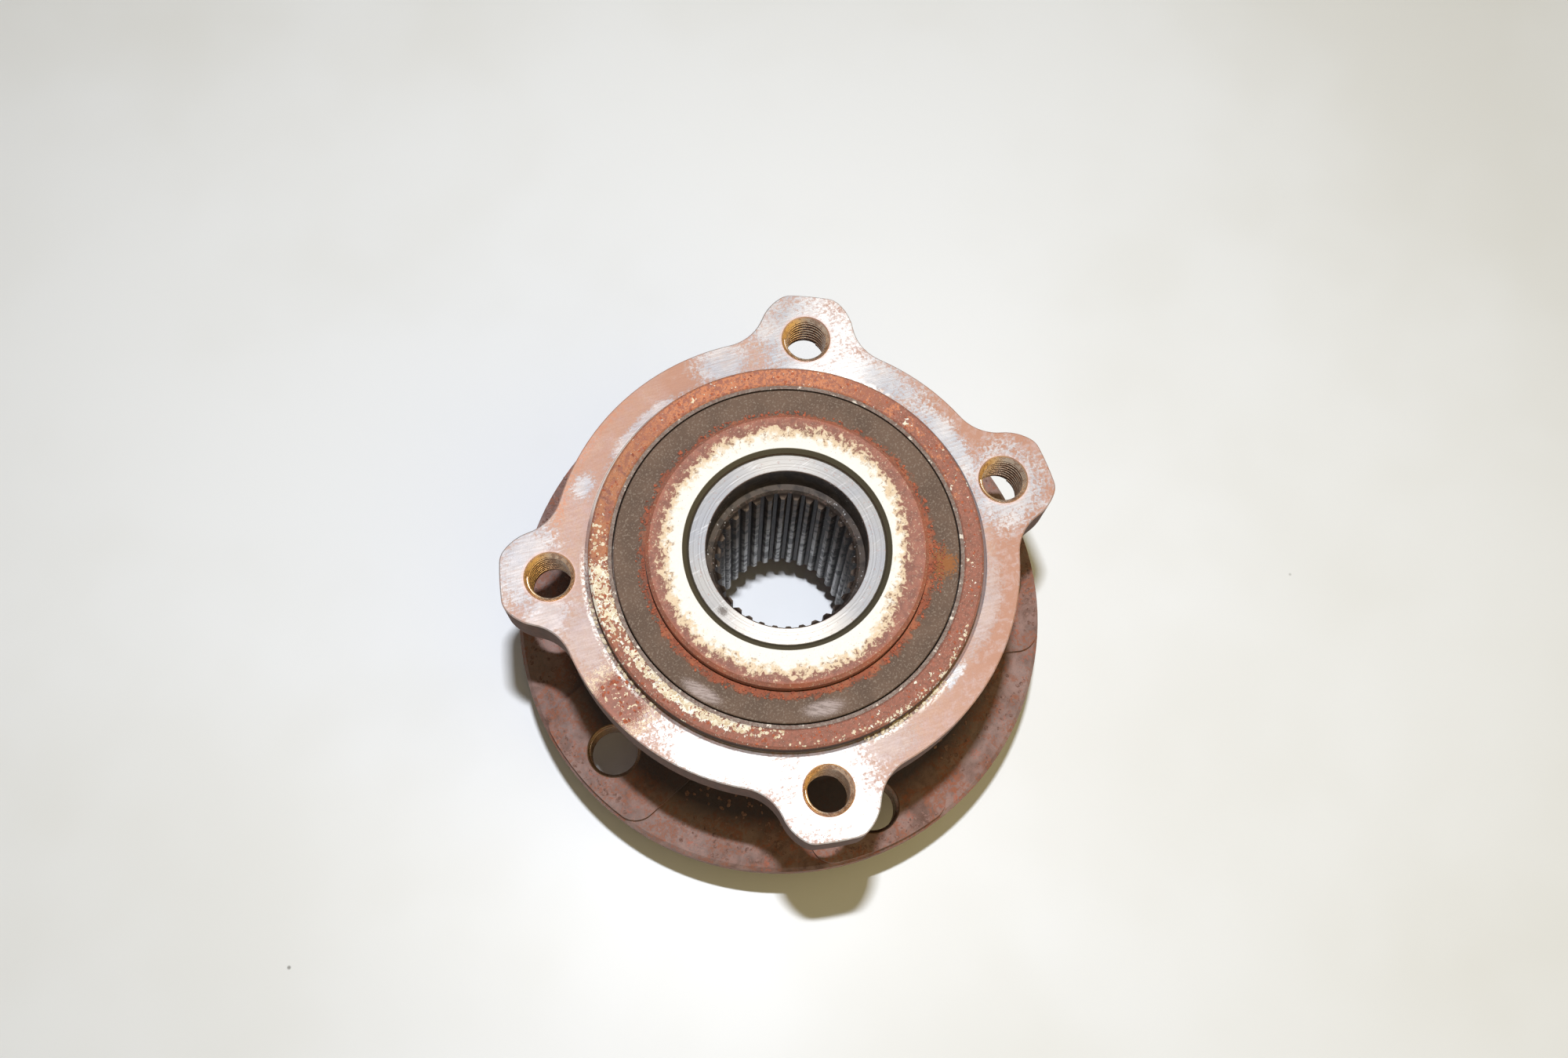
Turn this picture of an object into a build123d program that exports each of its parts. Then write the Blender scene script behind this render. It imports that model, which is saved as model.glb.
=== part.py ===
from build123d import *
from math import cos, hypot, pi, radians, sin
import os

# A driven-wheel hub bearing: a flanged hub turning on two rows of balls inside a four-eared outer ring.
# Millimetres. +Z runs along the spin axis towards the vehicle (inboard). The origin is on the axis, at
# the plane of the wheel flange that the brake disc bolts against. +X points between the two close ears.

touch = 0.01                 # tolerance when an edge or a face is picked by its place

# ---- driving sizes: rolling elements and raceways ----
ball_diameter = 12.7
balls_per_row = 15
pitch_radius = 36.5
row_offset = 11.0            # each row's centre from the split plane between hub shoulder and inner ring
race_clearance = 0.20        # ball to raceway, and ball to cage pocket
inner_shoulder_drop = 2.2    # high inner shoulder, below the pitch circle
low_shoulder_drop = 5.3      # low inner shoulder, below the pitch circle
outer_shoulder_rise = 2.1    # shoulder between the outer raceways, above the pitch circle
snap_lip = 0.25              # lip that keeps each ball row in its outer raceway

# ---- driving sizes: wheel flange of the hub ----
wheel_bolt_circle = 120.0
wheel_bolt_count = 5
wheel_bolt_phase = 25.4      # degrees from +X to the first wheel-bolt hole
wheel_thread_diameter = 14.0  # M14 x 1.25
wheel_thread_chamfer = 0.25
wheel_rim_margin = 11.8      # flange radius beyond the bolt circle
flange_thickness = 7.6
pad_rise = 1.6               # bolt pads above the flange
pad_width = 38.6
pad_edge_inset = 0.7
pad_corner_radius = 6.0
flange_edge_chamfer = 1.0
bolt_to_boss_gap = 1.75       # from a bolt hole's mouth to the foot of the boss
boss_rise = 4.2
boss_skirt = 5.0             # radial width of the slope from the boss down to the flange

# ---- driving sizes: pilots and nut seat on the wheel side ----
disc_pilot_radius = 37.5
disc_pilot_height = 8.0
wheel_pilot_step = 1.25
wheel_pilot_height = 9.5
nut_recess_radius = 28.0
nut_seat_depth = 5.5         # nut seat below the disc face
pilot_chamfer = 1.2
pilot_root_groove = 0.8

# ---- driving sizes: spindle and spline ----
spindle_setback = 1.1        # spindle end below the inner ring face
spindle_chamfer = 0.6
counterbore_radius = 19.64
counterbore_depth = 9.7
counterbore_edge = 0.3        # chamfer round the counterbore's mouth
counterbore_floor_drop = 0.6  # slope of the counterbore's floor, down to the ledge
bore_ledge_radius = 18.3
spline_lead_depth = 2.6      # from the counterbore floor to the first full tooth
spline_teeth = 32            # 24/48 pitch, 33.87 mm pitch diameter
spline_pitch_radius = 16.93
spline_root_radius = 17.65
spline_tip_radius = 16.40
spline_flank_angle = 30.0
spline_end_chamfer = 1.3

# ---- driving sizes: pressed-on inner ring ----
inner_ring_width = 28.3
inner_ring_wall = 10.0       # bore to the high inner shoulder
inner_ring_edge = 0.9
inner_ring_bore_chamfer = 1.1
race_land_chamfer = 0.5

# ---- driving sizes: outer ring, its pilot and its ears ----
labyrinth_gap = 2.2          # outer ring to hub boss
outboard_reach = 24.5        # outer ring, outboard of the split plane
inboard_reach = 24.4         # outer ring, inboard of the split plane
seal_seat_step = 0.6
barrel_wall = 4.1
bolt_to_fillet_gap = 0.7     # from an ear hole's mouth to the fillet where the barrel meets the plate
knuckle_pilot_wall = 4.9
knuckle_pilot_height = 3.9
knuckle_pilot_chamfer = 0.7
seal_mouth_chamfer = 0.4
root_groove_width = 1.1
root_groove_depth = 0.4
ear_plate_ledge = 9.4        # ear plate radius beyond the knuckle pilot
ear_plate_thickness = 13.7
ear_bolt_offset = 9.7        # ear hole centres beyond the knuckle pilot
close_ear_angle = 32.2       # half angle between the two close ears
wide_ear_angle = 132.9       # half angle between the two wide ears
ear_head_radius = 12.2
ear_head_offset = 1.3        # ear head centres beyond the ear hole centres
ear_tip_margin = 12.1        # ear tips beyond the ear hole centres
ear_tip_rounding = 5.0
ear_neck_radius = 12.0
ear_thread_diameter = 12.0   # M12 x 1.5
ear_thread_chamfer = 0.3
ear_edge_chamfer = 0.3
barrel_end_chamfer = 1.0

# ---- driving sizes: cages ----
cage_inner_gap = 0.6         # cage bore to the high inner shoulder
cage_radial_width = 6.0
cage_back = 2.0              # cage material behind each ball pocket
cage_mouth = 2.8             # cage edge beyond the ball centres, on the open side
finger_slot_width = 1.0
finger_slot_depth = 1.8

# ---- driving sizes: seals and encoder ----
sheet_thickness = 0.8
seal_case_wall = 0.9
seal_inset = 0.2             # seal case rim inside the outer ring's end face
inboard_case_depth = 4.3
outboard_case_depth = 4.2
case_flange_reach = 5.9      # seal case flange, inwards from its outer wall
lip_clearance = 0.2
lip_thickness = 0.7
lip_root_width = 1.4
flinger_sleeve_length = 3.4
encoder_thickness = 0.9
encoder_gap = 0.4            # encoder edge to the seal case
encoder_edge_chamfer = 0.2
axial_lip_gap = 0.35

# ---- derived radii ----
ball_radius = ball_diameter / 2
race_radius = ball_radius + race_clearance
inner_shoulder_radius = pitch_radius - inner_shoulder_drop
low_shoulder_radius = pitch_radius - low_shoulder_drop
spindle_radius = inner_shoulder_radius - inner_ring_wall
outer_shoulder_radius = pitch_radius + outer_shoulder_rise
relief_radius = pitch_radius + race_radius - snap_lip
seal_seat_radius = relief_radius + seal_seat_step
barrel_radius = seal_seat_radius + barrel_wall
knuckle_pilot_radius = seal_seat_radius + knuckle_pilot_wall
ear_plate_radius = knuckle_pilot_radius + ear_plate_ledge
ear_bolt_radius = knuckle_pilot_radius + ear_bolt_offset
flange_radius = wheel_bolt_circle / 2 + wheel_rim_margin
wheel_pilot_radius = disc_pilot_radius - wheel_pilot_step
bolt_hole_radius = wheel_thread_diameter / 2
ear_hole_radius = ear_thread_diameter / 2
barrel_root_fillet = (
    ear_bolt_radius - ear_hole_radius - ear_thread_chamfer - bolt_to_fillet_gap - barrel_radius
)
boss_foot_radius = wheel_bolt_circle / 2 - bolt_hole_radius - wheel_thread_chamfer - bolt_to_boss_gap
boss_radius = boss_foot_radius - boss_skirt

# ---- derived heights along the axis ----
boss_face_z = flange_thickness + boss_rise
pad_face_z = flange_thickness + pad_rise
barrel_end_z = boss_face_z + labyrinth_gap
split_z = barrel_end_z + outboard_reach
ring_face_z = split_z + inboard_reach
ear_face_z = ring_face_z - knuckle_pilot_height
ear_back_z = ear_face_z - ear_plate_thickness
inner_ring_face_z = split_z + inner_ring_width
spindle_end_z = inner_ring_face_z - spindle_setback
counterbore_z = spindle_end_z - counterbore_depth
spline_top_z = counterbore_z - spline_lead_depth
nut_seat_z = -nut_seat_depth
disc_pilot_z = -disc_pilot_height
wheel_pilot_z = disc_pilot_z - wheel_pilot_height
inboard_row_z = split_z + row_offset
outboard_row_z = split_z - row_offset

os.makedirs("parts", exist_ok=True)


def finish(piece, name):
    """Label a finished piece and write it as its own file."""
    piece.part.label = name
    export_step(piece.part, f"parts/{name}.step")


def polar(radius, angle):
    """The point at a radius and an angle in degrees about the axis."""
    return (radius * cos(radians(angle)), radius * sin(radians(angle)))


# ---- outer ring: raceways, seal seats, knuckle pilot and the four-eared plate ----
ear_angles = (close_ear_angle, wide_ear_angle, -wide_ear_angle, -close_ear_angle)
ear_centres = [polar(ear_bolt_radius, ear) for ear in ear_angles]
ear_tip_radius = ear_bolt_radius + ear_tip_margin

with BuildPart() as outer_ring:
    with BuildSketch(Plane.XZ):
        with BuildLine():
            Polyline(
                (seal_seat_radius + seal_mouth_chamfer, barrel_end_z),
                (barrel_radius - barrel_end_chamfer, barrel_end_z),
                (barrel_radius, barrel_end_z + barrel_end_chamfer),
                (barrel_radius, ear_back_z),
                (knuckle_pilot_radius, ear_back_z),
                (knuckle_pilot_radius, ring_face_z - knuckle_pilot_chamfer),
                (knuckle_pilot_radius - knuckle_pilot_chamfer, ring_face_z),
                (seal_seat_radius + seal_mouth_chamfer, ring_face_z),
                (seal_seat_radius, ring_face_z - seal_mouth_chamfer),
                (seal_seat_radius, ring_face_z - seal_inset - inboard_case_depth),
                (relief_radius, ring_face_z - seal_inset - inboard_case_depth),
                (relief_radius, inboard_row_z),
                (outer_shoulder_radius, inboard_row_z),
                (outer_shoulder_radius, outboard_row_z),
                (relief_radius, outboard_row_z),
                (relief_radius, barrel_end_z + seal_inset + outboard_case_depth),
                (seal_seat_radius, barrel_end_z + seal_inset + outboard_case_depth),
                (seal_seat_radius, barrel_end_z + seal_mouth_chamfer),
                close=True,
            )
        make_face()
    revolve(axis=Axis.Z)
    with BuildSketch(Plane.XY.offset(ear_back_z)):
        Circle(ear_plate_radius)
        with Locations(*[polar(ear_bolt_radius + ear_head_offset, ear) for ear in ear_angles]):
            Circle(ear_head_radius)
        necks = [v for v in vertices() if abs(hypot(v.X, v.Y) - ear_plate_radius) < touch]
        fillet([v for v in necks if abs(v.Y) > touch], radius=ear_neck_radius)
        Circle(ear_tip_radius, mode=Mode.INTERSECT)
        tips = [v for v in vertices() if abs(hypot(v.X, v.Y) - ear_tip_radius) < touch]
        fillet(tips, radius=ear_tip_rounding)
        Circle(barrel_radius - barrel_wall / 2, mode=Mode.SUBTRACT)
    extrude(amount=ear_plate_thickness)
    with Locations((0, 0, inboard_row_z), (0, 0, outboard_row_z)):
        Torus(pitch_radius, race_radius, mode=Mode.SUBTRACT)
    plate_faces = faces().filter_by(Plane.XY)
    rim_top = plate_faces.filter_by_position(Axis.Z, ear_face_z - touch, ear_face_z + touch)[0]
    rim_back = plate_faces.filter_by_position(Axis.Z, ear_back_z - touch, ear_back_z + touch)[0]
    rim_edges = rim_top.outer_wire().edges() + rim_back.outer_wire().edges()
    chamfer(rim_edges, length=ear_edge_chamfer)
    root_edges = edges().filter_by(GeomType.CIRCLE)
    root_edges = root_edges.filter_by_position(Axis.Z, ear_back_z - touch, ear_back_z + touch)
    fillet([e for e in root_edges if abs(e.radius - barrel_radius) < touch], radius=barrel_root_fillet)
    with BuildSketch(Plane.XY.offset(ear_face_z)):
        Circle(knuckle_pilot_radius + root_groove_width)
        Circle(knuckle_pilot_radius, mode=Mode.SUBTRACT)
    extrude(amount=-root_groove_depth, mode=Mode.SUBTRACT)
    with Locations(*[(x, y, ear_face_z) for x, y in ear_centres]):
        Hole(radius=ear_hole_radius, depth=ear_plate_thickness)
    mouth_edges = edges().filter_by(GeomType.CIRCLE)
    chamfer([e for e in mouth_edges if abs(e.radius - ear_hole_radius) < touch], length=ear_thread_chamfer)
finish(outer_ring, "outer_ring")

# ---- wheel hub: one forging with the wheel flange, the outboard raceway and the splined spindle ----
space_half_root = (
    pi * spline_pitch_radius / spline_teeth / 2
    - (spline_root_radius - spline_pitch_radius) * sin(radians(spline_flank_angle))
)
space_half_tip = (
    pi * spline_pitch_radius / spline_teeth / 2
    + (spline_pitch_radius - spline_tip_radius + spline_end_chamfer) * sin(radians(spline_flank_angle))
)

with BuildPart() as wheel_hub:
    with BuildSketch(Plane.XZ):
        with BuildLine():
            Polyline(
                (spline_tip_radius, nut_seat_z + spline_end_chamfer),
                (spline_tip_radius + spline_end_chamfer, nut_seat_z),
                (nut_recess_radius, nut_seat_z),
                (nut_recess_radius, wheel_pilot_z + pilot_chamfer),
                (nut_recess_radius + pilot_chamfer, wheel_pilot_z),
                (wheel_pilot_radius - pilot_chamfer, wheel_pilot_z),
                (wheel_pilot_radius, wheel_pilot_z + pilot_chamfer),
                (wheel_pilot_radius, disc_pilot_z),
                (disc_pilot_radius, disc_pilot_z + wheel_pilot_step),
                (disc_pilot_radius, -pilot_root_groove),
                (disc_pilot_radius - pilot_root_groove, 0),
                (disc_pilot_radius - pilot_root_groove, pilot_root_groove / 2),
                (disc_pilot_radius + pilot_root_groove, pilot_root_groove / 2),
                (disc_pilot_radius + pilot_root_groove, 0),
                (flange_radius - flange_edge_chamfer, 0),
                (flange_radius, flange_edge_chamfer),
                (flange_radius, flange_thickness - flange_edge_chamfer),
                (flange_radius - flange_edge_chamfer, flange_thickness),
                (boss_foot_radius, flange_thickness),
                (boss_radius, boss_face_z),
                (inner_shoulder_radius + boss_rise, boss_face_z),
                (inner_shoulder_radius, boss_face_z + labyrinth_gap),
                (inner_shoulder_radius, outboard_row_z),
                (low_shoulder_radius, outboard_row_z),
                (low_shoulder_radius, split_z - race_land_chamfer),
                (low_shoulder_radius - race_land_chamfer, split_z),
                (spindle_radius, split_z),
                (spindle_radius, spindle_end_z - spindle_chamfer),
                (spindle_radius - spindle_chamfer, spindle_end_z),
                (counterbore_radius + counterbore_edge, spindle_end_z),
                (counterbore_radius, spindle_end_z - counterbore_edge),
                (counterbore_radius, counterbore_z),
                (bore_ledge_radius, counterbore_z - counterbore_floor_drop),
                (spline_tip_radius, spline_top_z),
                close=True,
            )
        make_face()
    revolve(axis=Axis.Z)
    with Locations((0, 0, outboard_row_z)):
        Torus(pitch_radius, race_radius, mode=Mode.SUBTRACT)
    with BuildSketch(Plane.XY.offset(flange_thickness / 2)):
        with PolarLocations((boss_radius + flange_radius) / 2, wheel_bolt_count, wheel_bolt_phase):
            Rectangle(flange_radius - boss_radius + pad_corner_radius, pad_width)
        Circle(flange_radius - pad_edge_inset, mode=Mode.INTERSECT)
        pad_corners = [v for v in vertices() if hypot(v.X, v.Y) > flange_radius - pad_edge_inset - touch]
        fillet(pad_corners, radius=pad_corner_radius)
        Circle(boss_radius, mode=Mode.SUBTRACT)
    extrude(amount=flange_thickness / 2 + pad_rise)
    with PolarLocations(wheel_bolt_circle / 2, wheel_bolt_count, wheel_bolt_phase):
        Cylinder(
            bolt_hole_radius,
            pad_face_z,
            align=(Align.CENTER, Align.CENTER, Align.MIN),
            mode=Mode.SUBTRACT,
        )
    mouth_edges = edges().filter_by(GeomType.CIRCLE)
    chamfer([e for e in mouth_edges if abs(e.radius - bolt_hole_radius) < touch], length=wheel_thread_chamfer)
    with BuildSketch(Plane.XY.offset(nut_seat_z)):
        with PolarLocations(0, spline_teeth):
            Polygon(
                (spline_tip_radius - spline_end_chamfer, -space_half_tip),
                (spline_root_radius, -space_half_root),
                (spline_root_radius, space_half_root),
                (spline_tip_radius - spline_end_chamfer, space_half_tip),
                align=None,
            )
    extrude(amount=counterbore_z - nut_seat_z, mode=Mode.SUBTRACT)
finish(wheel_hub, "wheel_hub")

# ---- inner ring: pressed on the spindle against the hub's shoulder, with the inboard raceway ----
with BuildPart() as inner_ring:
    with BuildSketch(Plane.XZ):
        with BuildLine():
            Polyline(
                (spindle_radius, split_z),
                (low_shoulder_radius - race_land_chamfer, split_z),
                (low_shoulder_radius, split_z + race_land_chamfer),
                (low_shoulder_radius, inboard_row_z),
                (inner_shoulder_radius, inboard_row_z),
                (inner_shoulder_radius, inner_ring_face_z - inner_ring_edge),
                (inner_shoulder_radius - inner_ring_edge, inner_ring_face_z),
                (spindle_radius + inner_ring_bore_chamfer, inner_ring_face_z),
                (spindle_radius, inner_ring_face_z - inner_ring_bore_chamfer),
                close=True,
            )
        make_face()
    revolve(axis=Axis.Z)
    with Locations((0, 0, inboard_row_z)):
        Torus(pitch_radius, race_radius, mode=Mode.SUBTRACT)
finish(inner_ring, "inner_ring")

# ---- balls and cages: one set per row, mirrored about the split plane ----
cage_inner_radius = inner_shoulder_radius + cage_inner_gap
cage_outer_radius = cage_inner_radius + cage_radial_width
ball_step = 360 / balls_per_row

for row, row_z, outward in (("inboard", inboard_row_z, 1), ("outboard", outboard_row_z, -1)):
    back_z = row_z + outward * (race_radius + cage_back)
    mouth_z = row_z - outward * cage_mouth
    with BuildPart() as cage:
        with BuildSketch(Plane.XZ):
            with BuildLine():
                Polyline(
                    (cage_inner_radius, mouth_z),
                    (cage_outer_radius, mouth_z),
                    (cage_outer_radius, back_z),
                    (cage_inner_radius, back_z),
                    close=True,
                )
            make_face()
        revolve(axis=Axis.Z)
        with Locations((0, 0, row_z)):
            with PolarLocations(pitch_radius, balls_per_row):
                Sphere(race_radius, mode=Mode.SUBTRACT)
        with Locations((0, 0, mouth_z)):
            with PolarLocations(cage_outer_radius, balls_per_row, ball_step / 2):
                Box(4 * cage_radial_width, finger_slot_width, 2 * finger_slot_depth, mode=Mode.SUBTRACT)
    finish(cage, f"{row}_cage")
    for number in range(balls_per_row):
        x, y = polar(pitch_radius, number * ball_step)
        with BuildPart() as ball:
            with Locations((x, y, row_z)):
                Sphere(ball_radius)
        finish(ball, f"{row}_ball_{number + 1:02d}")

# ---- inboard seal: a steel case with rubber lips in the outer ring, a flinger with the encoder on the hub
case_outer_radius = seal_seat_radius
case_inner_radius = case_outer_radius - seal_case_wall
flange_tip_radius = case_outer_radius - case_flange_reach
flinger_outer_radius = inner_shoulder_radius + sheet_thickness
encoder_radius = case_inner_radius - encoder_gap
case_rim_z = ring_face_z - seal_inset
case_floor_z = case_rim_z - inboard_case_depth
encoder_back_z = ring_face_z - encoder_thickness
flinger_back_z = encoder_back_z - sheet_thickness

with BuildPart() as inboard_seal_case:
    with BuildSketch(Plane.XZ):
        with BuildLine():
            Polyline(
                (case_outer_radius, case_rim_z),
                (case_inner_radius, case_rim_z),
                (case_inner_radius, case_floor_z + sheet_thickness),
                (flange_tip_radius, case_floor_z + sheet_thickness),
                (flange_tip_radius, case_floor_z),
                (case_outer_radius, case_floor_z),
                close=True,
            )
        make_face()
    revolve(axis=Axis.Z)
finish(inboard_seal_case, "inboard_seal_case")

with BuildPart() as inboard_seal_lips:
    with BuildSketch(Plane.XZ):
        with BuildLine():
            Polyline(
                (flange_tip_radius, case_floor_z),
                (flange_tip_radius, case_floor_z + sheet_thickness),
                (flange_tip_radius + lip_root_width, case_floor_z + sheet_thickness),
                (flange_tip_radius + lip_root_width + lip_thickness, flinger_back_z - lip_clearance),
                (flange_tip_radius + lip_root_width, flinger_back_z - lip_clearance),
                (flange_tip_radius, case_floor_z + sheet_thickness + lip_thickness),
                (flinger_outer_radius + lip_clearance, case_floor_z + sheet_thickness + lip_thickness),
                (flinger_outer_radius + lip_clearance, case_floor_z + sheet_thickness),
                close=True,
            )
        make_face()
    revolve(axis=Axis.Z)
finish(inboard_seal_lips, "inboard_seal_lips")

with BuildPart() as inboard_flinger:
    with BuildSketch(Plane.XZ):
        with BuildLine():
            Polyline(
                (inner_shoulder_radius, encoder_back_z),
                (inner_shoulder_radius, encoder_back_z - flinger_sleeve_length),
                (flinger_outer_radius, encoder_back_z - flinger_sleeve_length),
                (flinger_outer_radius, flinger_back_z),
                (encoder_radius, flinger_back_z),
                (encoder_radius, encoder_back_z),
                close=True,
            )
        make_face()
    revolve(axis=Axis.Z)
finish(inboard_flinger, "inboard_flinger")

with BuildPart() as encoder_ring:
    with BuildSketch(Plane.XZ):
        with BuildLine():
            Polyline(
                (inner_shoulder_radius + lip_clearance, encoder_back_z),
                (encoder_radius, encoder_back_z),
                (encoder_radius, ring_face_z - encoder_edge_chamfer),
                (encoder_radius - encoder_edge_chamfer, ring_face_z),
                (inner_shoulder_radius + lip_clearance, ring_face_z),
                close=True,
            )
        make_face()
    revolve(axis=Axis.Z)
finish(encoder_ring, "encoder_ring")

# ---- outboard seal: case and lips in the outer ring, running on the hub's land and boss face ----
outboard_rim_z = barrel_end_z + seal_inset
outboard_floor_z = outboard_rim_z + outboard_case_depth

with BuildPart() as outboard_seal_case:
    with BuildSketch(Plane.XZ):
        with BuildLine():
            Polyline(
                (case_outer_radius, outboard_rim_z),
                (case_outer_radius, outboard_floor_z),
                (flange_tip_radius, outboard_floor_z),
                (flange_tip_radius, outboard_floor_z - sheet_thickness),
                (case_inner_radius, outboard_floor_z - sheet_thickness),
                (case_inner_radius, outboard_rim_z),
                close=True,
            )
        make_face()
    revolve(axis=Axis.Z)
finish(outboard_seal_case, "outboard_seal_case")

with BuildPart() as outboard_seal_lips:
    with BuildSketch(Plane.XZ):
        with BuildLine():
            Polyline(
                (inner_shoulder_radius + lip_clearance, outboard_floor_z),
                (inner_shoulder_radius + lip_clearance, outboard_floor_z - lip_thickness),
                (flange_tip_radius - lip_thickness, outboard_floor_z - sheet_thickness - lip_thickness),
                (flange_tip_radius + lip_root_width, boss_face_z + axial_lip_gap),
                (flange_tip_radius + lip_root_width + lip_thickness, boss_face_z + axial_lip_gap),
                (flange_tip_radius + lip_root_width, outboard_floor_z - sheet_thickness),
                (flange_tip_radius, outboard_floor_z - sheet_thickness),
                (flange_tip_radius, outboard_floor_z),
                close=True,
            )
        make_face()
    revolve(axis=Axis.Z)
finish(outboard_seal_lips, "outboard_seal_lips")
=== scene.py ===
"""Finishes, threads, rust scale and studio for a used driven-wheel hub bearing.

Everything is in metres: +Z runs along the spin axis towards the vehicle, and the origin lies on the axis in
the plane that the brake disc bolts against. Sizes and patterns are laid out in millimetres and degrees about
that axis, and are turned into metres where a mesh, a lamp or the camera is made.
"""

import logging
import math
from abc import ABC, abstractmethod
from dataclasses import dataclass
from enum import Enum
from typing import ClassVar, Iterable, Mapping, Optional, Sequence, Union

import bmesh
import bpy
from mathutils import Matrix, Vector


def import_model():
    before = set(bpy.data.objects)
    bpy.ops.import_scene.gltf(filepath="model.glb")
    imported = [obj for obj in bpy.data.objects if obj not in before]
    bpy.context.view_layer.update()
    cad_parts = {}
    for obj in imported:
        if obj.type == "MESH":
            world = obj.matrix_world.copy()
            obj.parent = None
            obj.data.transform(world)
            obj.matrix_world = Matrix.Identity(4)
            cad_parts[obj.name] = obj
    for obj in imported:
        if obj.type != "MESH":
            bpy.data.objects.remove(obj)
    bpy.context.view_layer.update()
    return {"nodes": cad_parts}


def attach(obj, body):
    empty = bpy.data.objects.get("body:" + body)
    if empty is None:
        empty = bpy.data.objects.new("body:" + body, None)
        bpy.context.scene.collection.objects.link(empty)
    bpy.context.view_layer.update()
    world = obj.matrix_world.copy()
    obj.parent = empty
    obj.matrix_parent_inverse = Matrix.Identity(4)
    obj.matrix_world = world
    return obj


LOG = logging.getLogger("hub_bearing")
MM = 0.001
DEGREE = math.pi / 180
HALF_TURN = 180.0
RIDGE_HEIGHT = 0.5413  # of an internal metric thread, as a share of its pitch

Colour = tuple[float, float, float, float]
Point = tuple[float, float]
Feed = Union[float, Sequence[float], "Wire"]


def paint(red: int, green: int, blue: int) -> Colour:
    """Turn a colour as it looks, 0 to 255, into the linear colour that shaders take.

    Args:
        red: Red as displayed.
        green: Green as displayed.
        blue: Blue as displayed.

    Returns:
        The linear colour with full opacity.
    """
    linear = [
        part / 12.92 if part <= 0.04045 else ((part + 0.055) / 1.055) ** 2.4
        for part in (red / 255, green / 255, blue / 255)
    ]
    return (linear[0], linear[1], linear[2], 1.0)


def show(item: bpy.types.Object) -> None:
    """Link an object to the scene."""
    bpy.context.scene.collection.objects.link(item)


class Wire:
    """What a node puts out. Plain arithmetic on it adds the nodes that work it out."""

    def __init__(self, graph: "Graph", socket: bpy.types.NodeSocket) -> None:
        """Keep the output socket and the graph that it is in."""
        self.graph = graph
        self.socket = socket

    def __add__(self, other: Feed) -> "Wire":
        """The sum."""
        return self.graph.math("ADD", self, other)

    def __sub__(self, other: Feed) -> "Wire":
        """The difference."""
        return self.graph.math("SUBTRACT", self, other)

    def __rsub__(self, other: float) -> "Wire":
        """What is left of a number."""
        return self.graph.math("SUBTRACT", other, self)

    def __mul__(self, other: Feed) -> "Wire":
        """The product."""
        return self.graph.math("MULTIPLY", self, other)

    def __truediv__(self, other: Feed) -> "Wire":
        """The quotient."""
        return self.graph.math("DIVIDE", self, other)

    def __rtruediv__(self, other: float) -> "Wire":
        """A number divided by this."""
        return self.graph.math("DIVIDE", other, self)

    def above(self, edge: Feed) -> "Wire":
        """0 below zero and 1 above it, eased over the width of an edge."""
        return self.graph.math("ADD", self / edge, 0.5, clamp=True)

    def step(self, low: float, high: float, bottom: float = 0.0, top: float = 1.0) -> "Wire":
        """Ease from one value to another as this crosses a range.

        Args:
            low: Where the ease starts.
            high: Where it ends.
            bottom: The result at the start.
            top: The result at the end.

        Returns:
            The eased value.
        """
        inputs = {"Value": self, "From Min": low, "From Max": high, "To Min": bottom, "To Max": top}
        return self.graph.wire("ShaderNodeMapRange", inputs, interpolation_type="SMOOTHSTEP")


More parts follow.
